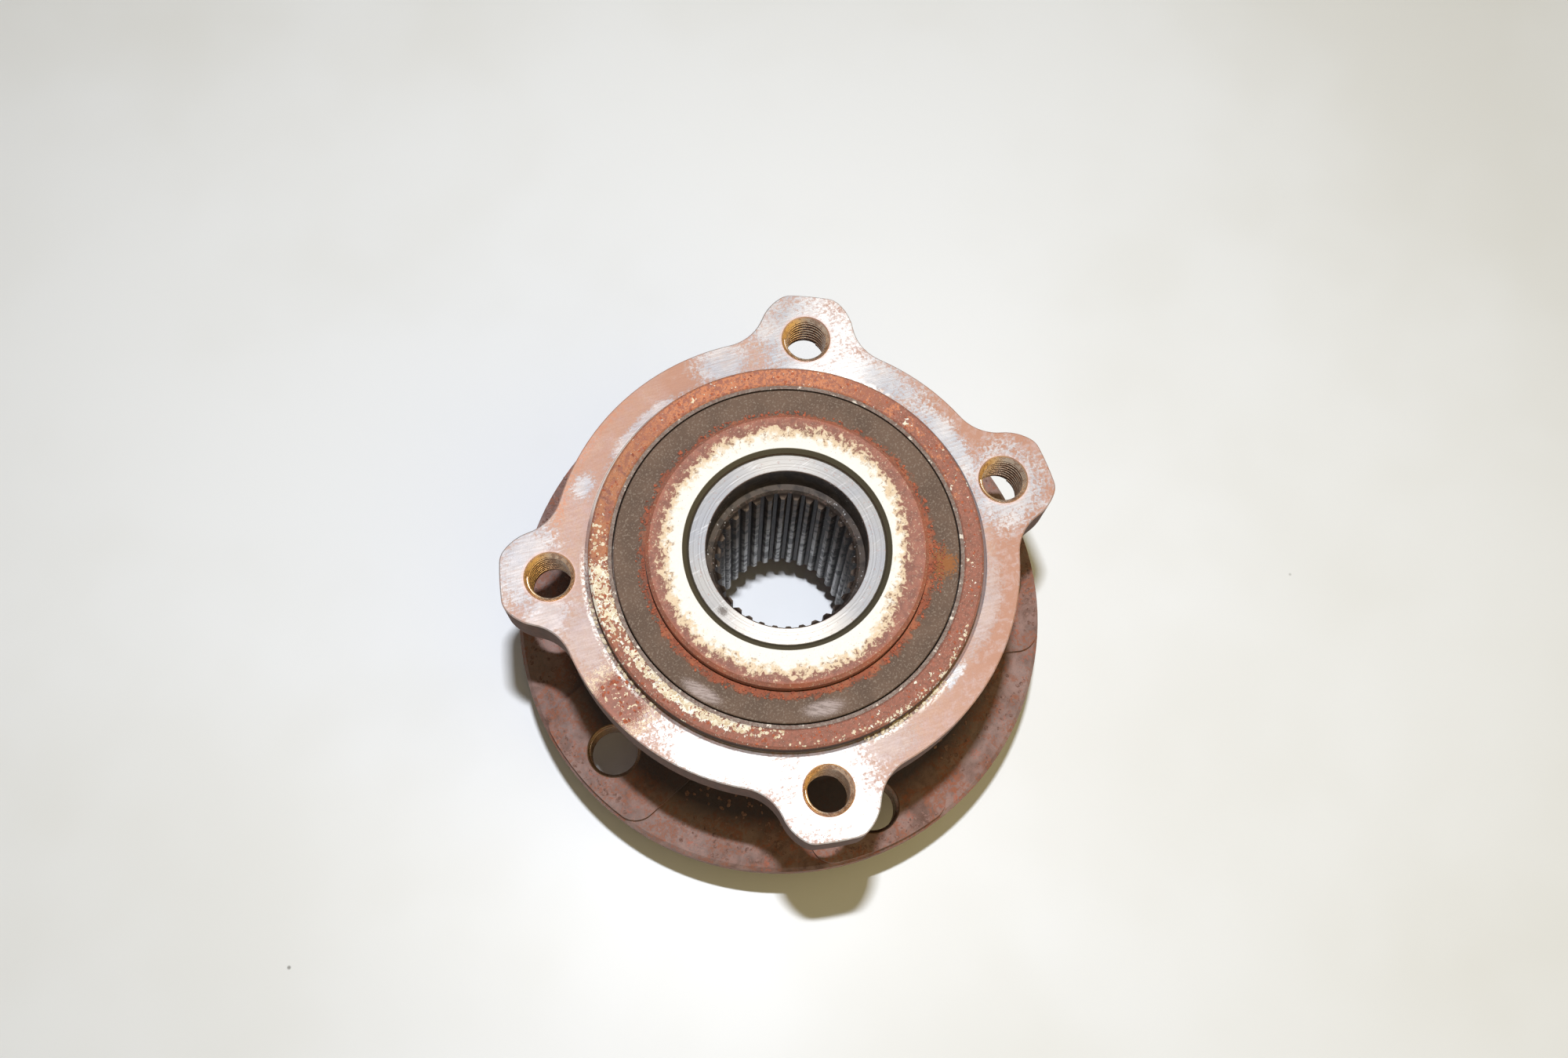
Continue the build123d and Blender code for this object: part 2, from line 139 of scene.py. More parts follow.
class Graph:
    """Adds nodes to one node tree and joins them."""

    def __init__(self, tree: bpy.types.NodeTree) -> None:
        """Keep the tree that the nodes go into."""
        self.tree = tree

    def feed(self, socket: bpy.types.NodeSocket, value: Feed) -> None:
        """Link an input to a wire, or set its value.

        Args:
            socket: The input.
            value: What it gets.
        """
        if isinstance(value, Wire):
            self.tree.links.new(value.socket, socket)
        else:
            socket.default_value = value

    def node(
        self, kind: str, inputs: Optional[Mapping[Union[str, int], Feed]] = None, **settings: object
    ) -> bpy.types.Node:
        """Add one node.

        Args:
            kind: Blender's name of the node type.
            inputs: What each input gets, by its name or place.
            **settings: Properties of the node.

        Returns:
            The new node.
        """
        made = self.tree.nodes.new(kind)
        for label, setting in settings.items():
            setattr(made, label, setting)
        for label, value in (inputs or {}).items():
            self.feed(made.inputs[label], value)
        return made

    def wire(
        self, kind: str, inputs: Optional[Mapping[Union[str, int], Feed]] = None,
        output: Union[str, int] = 0, **settings: object,
    ) -> Wire:
        """Add one node and take one of its outputs.

        Args:
            kind: Blender's name of the node type.
            inputs: What each input gets, by its name or place.
            output: The output's name or place.
            **settings: Properties of the node.

        Returns:
            The output.
        """
        return Wire(self, self.node(kind, inputs, **settings).outputs[output])

    def outputs(self, node: bpy.types.Node) -> dict[str, Wire]:
        """All outputs of a node by their names."""
        return {socket.name: Wire(self, socket) for socket in node.outputs}

    def group(self, tree: bpy.types.NodeTree, **inputs: Feed) -> dict[str, Wire]:
        """Place a node group.

        Args:
            tree: The group's tree.
            **inputs: What its inputs get, with underscores for spaces.

        Returns:
            The group's outputs by their names.
        """
        made = self.node("ShaderNodeGroup", node_tree=tree)
        for label, value in inputs.items():
            self.feed(made.inputs[label.replace("_", " ")], value)
        return self.outputs(made)

    def math(
        self, operation: str, first: Feed, second: Feed = 0.0, third: Feed = 0.0, clamp: bool = False
    ) -> Wire:
        """Add a Math node.

        Args:
            operation: Blender's name of the operation.
            first: First operand.
            second: Second operand.
            third: Third operand, where the operation has one.
            clamp: Keep the result between 0 and 1.

        Returns:
            The result.
        """
        return self.wire(
            "ShaderNodeMath", {0: first, 1: second, 2: third}, operation=operation, use_clamp=clamp
        )

    def hypotenuse(self, first: Wire, second: Wire) -> Wire:
        """The distance that two distances at right angles make."""
        return self.math("POWER", first * first + second * second, 0.5)

    def highest(self, *values: Feed) -> Feed:
        """The highest of several values.

        Args:
            *values: The values.

        Returns:
            The highest.
        """
        top = values[0]
        for value in values[1:]:
            top = self.math("MAXIMUM", top, value)
        return top

    def split(self, vector: Feed) -> list[Wire]:
        """The three parts of a vector."""
        return list(self.outputs(self.node("ShaderNodeSeparateXYZ", {0: vector})).values())

    def vector(self, x: Feed, y: Feed, z: Feed) -> Wire:
        """A vector from its three parts."""
        return self.wire("ShaderNodeCombineXYZ", {0: x, 1: y, 2: z})

    def scaled(self, vector: Feed, scale: Feed) -> Wire:
        """A vector made longer or shorter."""
        return self.wire("ShaderNodeVectorMath", {0: vector, "Scale": scale}, operation="SCALE")

    def mix(self, factor: Feed, first: Feed, second: Feed) -> Wire:
        """Mix two colours.

        Args:
            factor: 0 gives the first, 1 the second.
            first: First colour.
            second: Second colour.

        Returns:
            The mixed colour.
        """
        return self.wire("ShaderNodeMix", {0: factor, 6: first, 7: second}, 2, data_type="RGBA")

    def layers(self, ground: Feed, *coats: tuple[Feed, Feed]) -> Feed:
        """Lay colours over a ground colour, each by its own mask.

        Args:
            ground: The colour underneath.
            *coats: Pairs of mask and colour, from the bottom up.

        Returns:
            The colour on top.
        """
        seen = ground
        for mask, colour in coats:
            seen = self.mix(mask, seen, colour)
        return seen

    def levels(self, ground: Feed, *coats: tuple[Feed, Feed]) -> Feed:
        """Lay plain values over a ground value, each by its own mask.

        Args:
            ground: The value underneath.
            *coats: Pairs of mask and value, from the bottom up.

        Returns:
            The value on top.
        """
        seen = ground
        for mask, value in coats:
            seen = self.wire("ShaderNodeMix", {0: mask, 2: seen, 3: value}, data_type="FLOAT")
        return seen

    def noise(
        self, position: Feed, scale: Feed, detail: float, roughness: float, warp: float = 0.0
    ) -> Wire:
        """Add cloudy noise.

        Args:
            position: Where the noise is read.
            scale: Features in one unit of the position.
            detail: How many finer layers there are.
            roughness: How strong the finer layers are.
            warp: How far the noise is pulled about.

        Returns:
            The noise, 0 to 1.
        """
        inputs = {
            "Vector": position, "Scale": scale, "Detail": detail, "Roughness": roughness, "Distortion": warp
        }
        return self.wire("ShaderNodeTexNoise", inputs)


Ends = tuple[Graph, dict[str, Wire], bpy.types.NodeInputs]


def start_group(name: str, inputs: Mapping[str, Union[float, str]], outputs: Iterable[str]) -> Ends:
    """Begin a shader node group.

    Args:
        name: The group's name.
        inputs: Each input's default value, or "vector" for a position.
        outputs: The names of the outputs. Millimetres is a position, and the others are single values.

    Returns:
        The graph, the values that come in and the sockets that go out.
    """
    tree = bpy.data.node_groups.new(name, "ShaderNodeTree")
    for label, default in inputs.items():
        kind = "NodeSocketVector" if default == "vector" else "NodeSocketFloat"
        socket = tree.interface.new_socket(label, in_out="INPUT", socket_type=kind)
        if default != "vector":
            socket.default_value = default
    for label in outputs:
        kind = "NodeSocketVector" if label == "Millimetres" else "NodeSocketFloat"
        tree.interface.new_socket(label, in_out="OUTPUT", socket_type=kind)
    graph = Graph(tree)
    return graph, graph.outputs(graph.node("NodeGroupInput")), graph.node("NodeGroupOutput").inputs


class Effects:
    """The node groups that several finishes share, each built once."""

    def __init__(self) -> None:
        """Build every group."""
        self.place = self._place()
        self.patch = self._patch()
        self.arc = self._arc()
        self.band = self._band()
        self.streaks = self._streaks()
        self.turning = self._turning()
        self.corrosion = self._corrosion()
        self.specks = self._specks()

    def _place(self) -> bpy.types.NodeTree:
        """Millimetres, and the radius, angle in degrees and height about the spin axis.

        Returns:
            The group's tree.
        """
        graph, _, out = start_group("place on the axis", {}, ("Millimetres", "Radius", "Angle", "Height"))
        here = graph.scaled(graph.wire("ShaderNodeTexCoord", output="Object"), 1 / MM)
        east, north, height = graph.split(here)
        graph.feed(out["Millimetres"], here)
        graph.feed(out["Radius"], graph.hypotenuse(east, north))
        graph.feed(out["Angle"], graph.math("ARCTAN2", north, east) * (1 / DEGREE))
        graph.feed(out["Height"], height)
        return graph.tree

    def _patch(self) -> bpy.types.NodeTree:
        """A ragged oval patch that lies along an arc.

        Returns:
            The group's tree.
        """
        inputs = {
            "Radius": 0.0, "Angle": 0.0, "Ragged": 0.5, "At Radius": 50.0, "At Angle": 0.0,
            "Half Depth": 3.0, "Half Length": 5.0, "Edge": 0.25, "Raggedness": 1.2,
        }
        graph, come, out = start_group("ragged patch", inputs, ("Mask",))
        depth = (come["Radius"] - come["At Radius"]) / come["Half Depth"]
        turn = graph.math("WRAP", come["Angle"] - come["At Angle"], HALF_TURN, -HALF_TURN)
        along = turn * DEGREE * come["At Radius"] / come["Half Length"]
        ragged = (come["Ragged"] - 0.5) * come["Raggedness"]
        beyond = graph.hypotenuse(depth, along) + ragged - 1.0
        graph.feed(out["Mask"], 1 - beyond.above(come["Edge"]))
        return graph.tree

    def _arc(self) -> bpy.types.NodeTree:
        """A stretch of angle with soft ends.

        Returns:
            The group's tree.
        """
        inputs = {"Angle": 0.0, "Centre": 0.0, "Half": 20.0, "Edge": 8.0}
        graph, come, out = start_group("arc", inputs, ("Mask",))
        turn = graph.math("WRAP", come["Angle"] - come["Centre"], HALF_TURN, -HALF_TURN)
        beyond = graph.math("ABSOLUTE", turn) - come["Half"]
        graph.feed(out["Mask"], 1 - beyond.above(come["Edge"]))
        return graph.tree

    def _band(self) -> bpy.types.NodeTree:
        """A range of a value with soft ends.

        Returns:
            The group's tree.
        """
        inputs = {"Value": 0.0, "Low": 0.0, "High": 1.0, "Edge": 0.2}
        graph, come, out = start_group("band", inputs, ("Mask",))
        rise = (come["Value"] - come["Low"]).above(come["Edge"])
        fall = (come["High"] - come["Value"]).above(come["Edge"])
        graph.feed(out["Mask"], rise * fall)
        return graph.tree

    def _streaks(self) -> bpy.types.NodeTree:
        """Straight grinding streaks in one direction.

        Returns:
            The group's tree.
        """
        inputs = {"Position": "vector", "Direction": 0.0, "Length": 8.0, "Width": 0.5}
        graph, come, out = start_group("streaks", inputs, ("Streaks",))
        turned = {"Vector": come["Position"], "Angle": come["Direction"] * -DEGREE}
        along, across, _ = graph.split(
            graph.wire("ShaderNodeVectorRotate", turned, rotation_type="Z_AXIS")
        )
        flat = graph.vector(along / come["Length"], across / come["Width"], 0.0)
        graph.feed(out["Streaks"], graph.noise(flat, 1.0, 3.0, 0.6))
        return graph.tree

    def _turning(self) -> bpy.types.NodeTree:
        """Fine rings left by a lathe tool.

        Returns:
            The group's tree.
        """
        inputs = {"Radius": 0.0, "Height": 0.0, "Spacing": 0.25}
        graph, come, out = start_group("turning marks", inputs, ("Rings",))
        run = (come["Radius"] + come["Height"]) / come["Spacing"]
        inputs = {"W": run, "Scale": 1.0, "Detail": 2.0}
        graph.feed(out["Rings"], graph.wire("ShaderNodeTexNoise", inputs, noise_dimensions="1D"))
        return graph.tree

    def _corrosion(self) -> bpy.types.NodeTree:
        """Layered rust: slow tone, blotches, grain, pits and a height for relief.

        Returns:
            The group's tree.
        """
        inputs = {"Position": "vector", "Size": 6.0}
        graph, come, out = start_group("corrosion", inputs, ("Tone", "Blotch", "Grain", "Pits", "Relief"))
        local = graph.scaled(come["Position"], 1.0 / come["Size"])
        tone = graph.noise(local, 0.7, 4.0, 0.6)
        blotch = graph.noise(local, 2.6, 5.0, 0.62, 0.6)
        grain = graph.noise(local, 13.0, 4.0, 0.65)
        cells = graph.wire("ShaderNodeTexVoronoi", {"Vector": local, "Scale": 7.0, "Randomness": 1.0})
        pits = cells.step(0.34, 0.10) * blotch.step(0.45, 0.6)
        graph.feed(out["Tone"], tone.step(0.3, 0.7))
        graph.feed(out["Blotch"], blotch.step(0.34, 0.66))
        graph.feed(out["Grain"], grain.step(0.3, 0.7))
        graph.feed(out["Pits"], pits)
        graph.feed(out["Relief"], blotch * 0.55 + grain * 0.45 + pits * -0.35)
        return graph.tree

    def _specks(self) -> bpy.types.NodeTree:
        """Small scattered specks, fewer as the threshold rises.

        Returns:
            The group's tree.
        """
        inputs = {"Position": "vector", "Scale": 2.0, "Threshold": 0.62, "Edge": 0.05}
        graph, come, out = start_group("specks", inputs, ("Mask",))
        cloud = graph.noise(come["Position"], come["Scale"], 4.0, 0.6)
        graph.feed(out["Mask"], (cloud - come["Threshold"]).above(come["Edge"]))
        return graph.tree


@dataclass(frozen=True)
class Patch:
    """An oval patch on a flat face.

    Attributes:
        radius: Its middle from the axis, mm.
        angle: Its middle about the axis, degrees.
        half_depth: Half its size along the radius, mm.
        half_length: Half its size along the arc, mm.
        strength: How much of it shows, 0 to 1.
    """

    radius: float
    angle: float
    half_depth: float
    half_length: float
    strength: float = 1.0


class Surface(Graph):
    """A material's nodes, with the place on the part at hand."""

    def __init__(self, name: str, effects: Effects) -> None:
        """Start a material with one principled shader.

        Args:
            name: The material's name.
            effects: The shared node groups.
        """
        self.effects = effects
        self.material = bpy.data.materials.new(name)
        self.material.use_nodes = True
        super().__init__(self.material.node_tree)
        self.tree.nodes.clear()
        self.shader = self.node("ShaderNodeBsdfPrincipled")
        self.node("ShaderNodeOutputMaterial", {"Surface": Wire(self, self.shader.outputs[0])})
        place = self.group(effects.place)
        self.position = place["Millimetres"]
        self.radius = place["Radius"]
        self.angle = place["Angle"]
        self.height = place["Height"]

    def corrosion(self, size: float) -> dict[str, Wire]:
        """Rust layers with features of about this size in mm."""
        return self.group(self.effects.corrosion, Position=self.position, Size=size)

    def specks(self, scale: float, threshold: Feed, edge: float = 0.05) -> Wire:
        """Specks of about 1 / scale mm over a threshold."""
        inputs = {"Position": self.position, "Scale": scale, "Threshold": threshold, "Edge": edge}
        return self.group(self.effects.specks, **inputs)["Mask"]

    def streaks(self, direction: float, length: float, width: float) -> Wire:
        """Streaks at an angle in degrees from +X."""
        inputs = {"Position": self.position, "Direction": direction, "Length": length, "Width": width}
        return self.group(self.effects.streaks, **inputs)["Streaks"]

    def rings(self, spacing: float) -> Wire:
        """Turning marks about the axis, this far apart in mm."""
        inputs = {"Radius": self.radius, "Height": self.height, "Spacing": spacing}
        return self.group(self.effects.turning, **inputs)["Rings"]

    def band(self, value: Feed, low: float, high: float, edge: float) -> Wire:
        """Where a value lies between two others."""
        return self.group(self.effects.band, Value=value, Low=low, High=high, Edge=edge)["Mask"]

    def arc(self, centre: float, half: float, edge: float = 8.0) -> Wire:
        """Where the angle lies near a centre, in degrees."""
        inputs = {"Angle": self.angle, "Centre": centre, "Half": half, "Edge": edge}
        return self.group(self.effects.arc, **inputs)["Mask"]

    def patches(self, spots: Iterable[Patch], ragged: Feed, edge: float, raggedness: float) -> Feed:
        """Join several ragged patches into one mask.

        Args:
            spots: The patches.
            ragged: Noise that breaks their edges.
            edge: How soft the edges are, as a share of the patch.
            raggedness: How far the noise moves the edges.

        Returns:
            The mask, 0 to 1.
        """
        masks = []
        for spot in spots:
            made = self.group(
                self.effects.patch, Radius=self.radius, Angle=self.angle, Ragged=ragged,
                At_Radius=spot.radius, At_Angle=spot.angle, Half_Depth=spot.half_depth,
                Half_Length=spot.half_length, Edge=edge, Raggedness=raggedness,
            )
            masks.append(made["Mask"] * spot.strength)
        return self.highest(*masks)

    def hole_distance(self, circle: float, angle: float, count: int) -> Wire:
        """Distance from the nearest of several evenly spaced holes.

        Args:
            circle: Radius of the circle of holes, mm.
            angle: Angle of one hole, degrees.
            count: Number of holes.

        Returns:
            The distance in mm.
        """
        half = HALF_TURN / count
        return self._distance(circle, self.math("WRAP", self.angle - angle, half, -half))

    def mirrored_hole_distance(self, circle: float, angle: float) -> Wire:
        """Distance from the nearer of two holes at plus and minus an angle."""
        return self._distance(circle, self.math("ABSOLUTE", self.angle) - angle)

    def _distance(self, circle: float, turn: Wire) -> Wire:
        """Distance from a point at a radius.

        Args:
            circle: The point's radius, mm.
            turn: The turn away from it, degrees.

        Returns:
            The distance in mm.
        """
        squares = self.radius * self.radius + circle * circle
        across = self.math("COSINE", turn * DEGREE) * self.radius * (2 * circle)
        return self.math("POWER", self.math("MAXIMUM", squares - across, 0.0), 0.5)

    def finish(
        self, colour: Feed, roughness: Feed, metallic: Feed, relief: Feed, depth: float
    ) -> bpy.types.Material:
        """Feed the shader.

        Args:
            colour: Base colour.
            roughness: Roughness.
            metallic: Metallic.
            relief: Height for the bump.
            depth: How deep the bump is, mm.

        Returns:
            The finished material.
        """
        bump = self.wire("ShaderNodeBump", {"Height": relief, "Distance": depth * MM, "Strength": 1.0})
        feeds = {"Base Color": colour, "Roughness": roughness, "Metallic": metallic, "Normal": bump}
        for label, value in feeds.items():
            self.feed(self.shader.inputs[label], value)
        return self.material


class Finish(ABC):
    """A finish that is made into a material."""

    name: str

    def material(self, effects: Effects) -> bpy.types.Material:
        """Make the material.

        Args:
            effects: The shared node groups.

        Returns:
            The material.
        """
        return self.lay(Surface(self.name, effects))

    @abstractmethod
    def lay(self, surface: Surface) -> bpy.types.Material:
        """Lay the finish on a new material.

        Args:
            surface: The new material.

        Returns:
            The finished material.
        """


@dataclass(frozen=True)
class OuterRingFinish(Finish):
    """Ground steel with a pink-brown stain, rubbed bright in places, and rust where nothing touched it."""

    name: str = "outer_ring_worn_steel"
    ear_circle: float = 58.0
    ear_angles: tuple[float, float] = (32.2, 132.9)
    ear_face: float = 59.0
    ear_bore: float = 6.3
    pilot_radius: float = 48.3
    pilot_end: float = 62.3
    pilot_foot: Point = (48.5, 49.4)
    groove_width: float = 1.15
    bore_mouth: Point = (5.9, 6.8)
    plate_edge: Point = (55.6, 58.2)
    plate_back: Point = (44.0, 46.5)
    plate_neck: Point = (48.0, 50.0)
    streak_direction: float = -34.0
    hatch_direction: float = 44.0
    bare: Colour = paint(178, 171, 166)
    cool: Colour = paint(150, 151, 155)
    # Paler steel: clean metal by the top ear, and a painted highlight on the lower arc.
    clean_steel_and_painted_highlight: Colour = paint(208, 204, 200)
    pink: Colour = paint(188, 158, 148)
    tan: Colour = paint(190, 156, 136)
    weathered: Colour = paint(170, 122, 97)
    scorched: Colour = paint(146, 106, 90)
    orange: Colour = paint(206, 130, 88)
    ochre: Colour = paint(180, 118, 78)
    red: Colour = paint(158, 98, 78)
    brown: Colour = paint(132, 86, 69)
    side: Colour = paint(72, 52, 43)
    dark: Colour = paint(60, 40, 31)
    cream: Colour = paint(232, 214, 178)
    chalk: Colour = paint(246, 240, 228)
    slate: Colour = paint(112, 114, 120)
    # Amber on the ear bore walls is a painted warm reflection.
    amber: Colour = paint(214, 164, 78)
    rubbed: tuple[Patch, ...] = (
        Patch(52.5, 14, 5.0, 16),
        Patch(57.0, 32, 15.0, 13),
        Patch(52.5, 55, 6.0, 7, 0.9),
        Patch(49.8, 84, 1.6, 12, 0.8),
        Patch(53.0, 108, 2.6, 3.4, 0.9),
        Patch(64.0, 129, 7.5, 13, 0.9),
        Patch(52.8, 150, 5.0, 10, 0.4),
        Patch(60.0, 142, 6.0, 6, 0.7),
        Patch(52.5, 199, 6.5, 17),
        Patch(52.8, 211, 6.0, 9),
        Patch(59.0, 227, 15.0, 14),
        Patch(52.0, 243, 4.5, 8, 0.4),
        Patch(50.3, 271, 1.2, 4),
        Patch(51.0, 293, 2.4, 11, 0.45),
        Patch(57.0, 326, 10.5, 10, 0.95),
        Patch(51.0, 345, 3.2, 14),
    )
    blot: Patch = Patch(52.6, 169.5, 6.6, 6.6)
    blot_rim: Patch = Patch(52.6, 169.5, 7.6, 8.4)

    def lay(self, surface: Surface) -> bpy.types.Material:
        """Put the ground face, the pilot's end and wall, the ear bores and the forged body together.

        Args:
            surface: The new material.

        Returns:
            The finished material.
        """
        rust = surface.corrosion(6.0)
        fine = surface.corrosion(2.2)
        streak = surface.streaks(self.streak_direction, 5.0, 0.55)
        on_face = surface.height.step(self.ear_face - 0.55, self.ear_face - 0.25)
        within = surface.radius.step(self.pilot_radius + 0.35, self.pilot_radius + 0.1)
        pilot = within * surface.height.step(self.ear_face + 0.1, self.ear_face + 0.5)
        pilot_end = pilot * surface.height.step(self.pilot_end - 0.1, self.pilot_end + 0.1)
        ragged = streak * 0.27 + fine["Blotch"] * 0.32 + rust["Tone"] * 0.15 + 0.13
        rubbed = surface.patches(self.rubbed, ragged, 0.6, 2.2)
        blot = surface.patches((self.blot,), fine["Grain"], 0.2, 0.5)

        stained = self._stained(surface, rust, fine, streak)
        ground = surface.mix(rubbed, stained, self._bare(surface, rust, streak))
        grit = surface.specks(2.6, 0.5, 0.2).step(0.0, 1.0, 0.0, 0.3)
        ground = surface.mix(grit, ground, surface.mix(rubbed, self.weathered, self.cool))
        blotted = surface.mix(fine["Blotch"], self.brown, self.red)
        groove = surface.band(surface.radius, self.pilot_radius, self.pilot_radius + self.groove_width, 0.3)
        flakes = surface.specks(1.5, 0.5, 0.06)
        face = surface.layers(
            ground,
            (surface.patches((self.blot_rim,), fine["Grain"], 0.2, 0.7) * flakes, self.cream),
            (blot, blotted),
            (blot * surface.specks(1.2, 0.62, 0.04), self.cream),
            (self._lip_crust(surface) * (1 - pilot) * flakes, self.chalk),
            (surface.band(surface.radius, *self.pilot_foot, 0.3) * surface.arc(100, 15, 6) * 0.9, self.chalk),
            # Painted shade: the groove at the pilot's foot is darkened on the near side, around 195 degrees.
            (groove * on_face * surface.arc(195, 62), self.dark),
            (groove * on_face * surface.arc(328, 36), self.slate),
        )
        wall = surface.layers(
            self.dark, (surface.arc(98, 22) * 0.9, self.chalk), (surface.arc(328, 40) * 0.8, self.slate)
        )
        end_flakes = self._end_flakes(surface)
        end = surface.mix(
            end_flakes, self._end_rust(surface, rust, fine), surface.mix(fine["Tone"], self.cream, self.chalk)
        )
        body = surface.mix(rust["Blotch"], self.dark, self.brown)
        body = surface.mix(fine["Blotch"] * rust["Tone"] * 0.5, body, self.red)
        plate_side = surface.height.step(*self.plate_back) * surface.radius.step(*self.plate_neck)
        body = surface.mix(plate_side * 0.7, body, self.side)
        hole = surface.math(
            "MINIMUM", *(surface.mirrored_hole_distance(self.ear_circle, turn) for turn in self.ear_angles)
        )
        bore = hole.step(self.ear_bore + 0.04, self.ear_bore - 0.04)
        mouth = surface.band(hole, *self.bore_mouth, 0.5) * surface.height.step(
            self.ear_face - 0.5, self.ear_face - 0.3
        )

        colour = surface.layers(
            body,
            (on_face, face),
            (pilot, wall),
            (pilot_end, end),
            # Ear bore walls: amber painted as a warm reflection, mixed by tone with a scorched stain.
            (bore, surface.mix(rust["Tone"], self.amber, self.scorched)),
            (mouth * 0.45, self.pink),
        )
        bright = surface.highest(rubbed, 0.22) * on_face * (1 - pilot) * (1 - blot)
        bright = surface.highest(bright, bore, mouth * 0.4)
        roughness = surface.levels(
            0.85, (on_face, 0.62), (bright, streak.step(0.3, 0.7, 0.5, 0.62)), (bore, 0.35), (pilot, 0.75)
        )
        relief = surface.levels(
            rust["Relief"],
            (on_face, streak * 0.25 + fine["Relief"] * 0.35 + surface.rings(0.3) * 0.1),
            (pilot, fine["Relief"] * 0.9 + end_flakes * 0.5),
        )
        return surface.finish(colour, roughness, bright * 0.7, relief, 0.11)

    def _bare(self, surface: Surface, rust: Mapping[str, Wire], streak: Wire) -> Feed:
        """The steel where it is rubbed bright, paler on two arcs: clean metal by the top ear, and a painted
        highlight near 207 degrees.

        Args:
            surface: The material.
            rust: Its broad rust.
            streak: Its grinding streaks.

        Returns:
            The colour.
        """
        # Near 24 degrees the paler steel is clean metal; the arc near 207 degrees is a painted highlight
        # where the lamp glares off the face.
        clean_and_painted_highlight_arcs = surface.highest(surface.arc(24, 9, 8), surface.arc(207, 34, 14))
        return surface.layers(
            self.bare,
            (rust["Tone"], self.cool),
            (clean_and_painted_highlight_arcs, self.clean_steel_and_painted_highlight),
            (streak.step(0.52, 0.72, 0.0, 0.35), self.tan),
        )

    def _stained(
        self, surface: Surface, rust: Mapping[str, Wire], fine: Mapping[str, Wire], streak: Wire
    ) -> Feed:
        """The steel under its pink-brown stain.

        Args:
            surface: The material.
            rust: Its broad rust.
            fine: Its fine rust.
            streak: Its grinding streaks.

        Returns:
            The colour.
        """
        hatch = surface.streaks(self.hatch_direction, 3.5, 0.28)
        edge = surface.band(surface.radius, *self.plate_edge, 1.4) * surface.arc(100, 20)
        weather = surface.arc(318, 52, 30) * surface.radius.step(49.5, 53.0)
        scorch = surface.highest(surface.arc(67, 7, 6), surface.arc(88, 20, 12) * 0.6)
        return surface.layers(
            self.pink,
            (rust["Blotch"], self.tan),
            (fine["Grain"] * streak.step(0.35, 0.6) * 0.35, self.scorched),
            (hatch.step(0.56, 0.7, 0.0, 0.4), self.bare),
            (edge * fine["Blotch"].step(0.3, 0.8) * 0.55, self.orange),
            (weather * rust["Blotch"].step(-0.2, 0.7) * 0.85, self.weathered),
            (scorch * rust["Tone"].step(-0.3, 0.6) * 0.8, self.weathered),
        )

    def _lip_crust(self, surface: Surface) -> Wire:
        """Where pale crust lies along the foot of the pilot.

        Args:
            surface: The material.

        Returns:
            The mask, 0 to 1.
        """
        near = surface.band(surface.radius, self.pilot_radius + 0.4, self.pilot_radius + 2.0, 0.8)
        return near * surface.highest(
            surface.arc(19, 11), surface.arc(246, 6), surface.arc(263, 5), surface.arc(150, 22)
        )

    def _end_rust(self, surface: Surface, rust: Mapping[str, Wire], fine: Mapping[str, Wire]) -> Feed:
        """The rust on the pilot's end.

        Args:
            surface: The material.
            rust: Its broad rust.
            fine: Its fine rust.

        Returns:
            The colour.
        """
        orange = surface.highest(
            surface.arc(50, 36, 25), surface.arc(5, 40) * surface.specks(0.35, 0.55, 0.06)
        )
        return surface.layers(
            self.red,
            (fine["Blotch"], self.brown),
            (surface.arc(120, 34, 16) * rust["Blotch"].step(0.1, 0.7) * 0.8, self.ochre),
            (rust["Grain"].step(0.5, 0.9) * 0.35, self.brown),
            (orange * fine["Blotch"].step(0.15, 0.75) * 0.85, self.orange),
            (fine["Pits"] * 0.6, self.dark),
            (surface.specks(2.4, 0.63, 0.04) * 0.8, self.tan),
        )

    def _end_flakes(self, surface: Surface) -> Feed:
        """Where pale scale clings to the pilot's end, mostly along two stretches.

        Args:
            surface: The material.

        Returns:
            The mask, 0 to 1.
        """
        field = (
            surface.arc(141, 11, 9) * 0.13
            + surface.arc(184, 24, 14) * surface.radius.step(46.6, 45.4) * 0.16
            + surface.arc(170, 36, 20) * 0.03
            + surface.arc(262, 15, 10) * surface.radius.step(46.6, 47.5) * 0.12
        )
        threshold = 0.68 - field
        return surface.highest(
            surface.specks(1.3, threshold, 0.03), surface.specks(0.42, threshold, 0.02)
        )


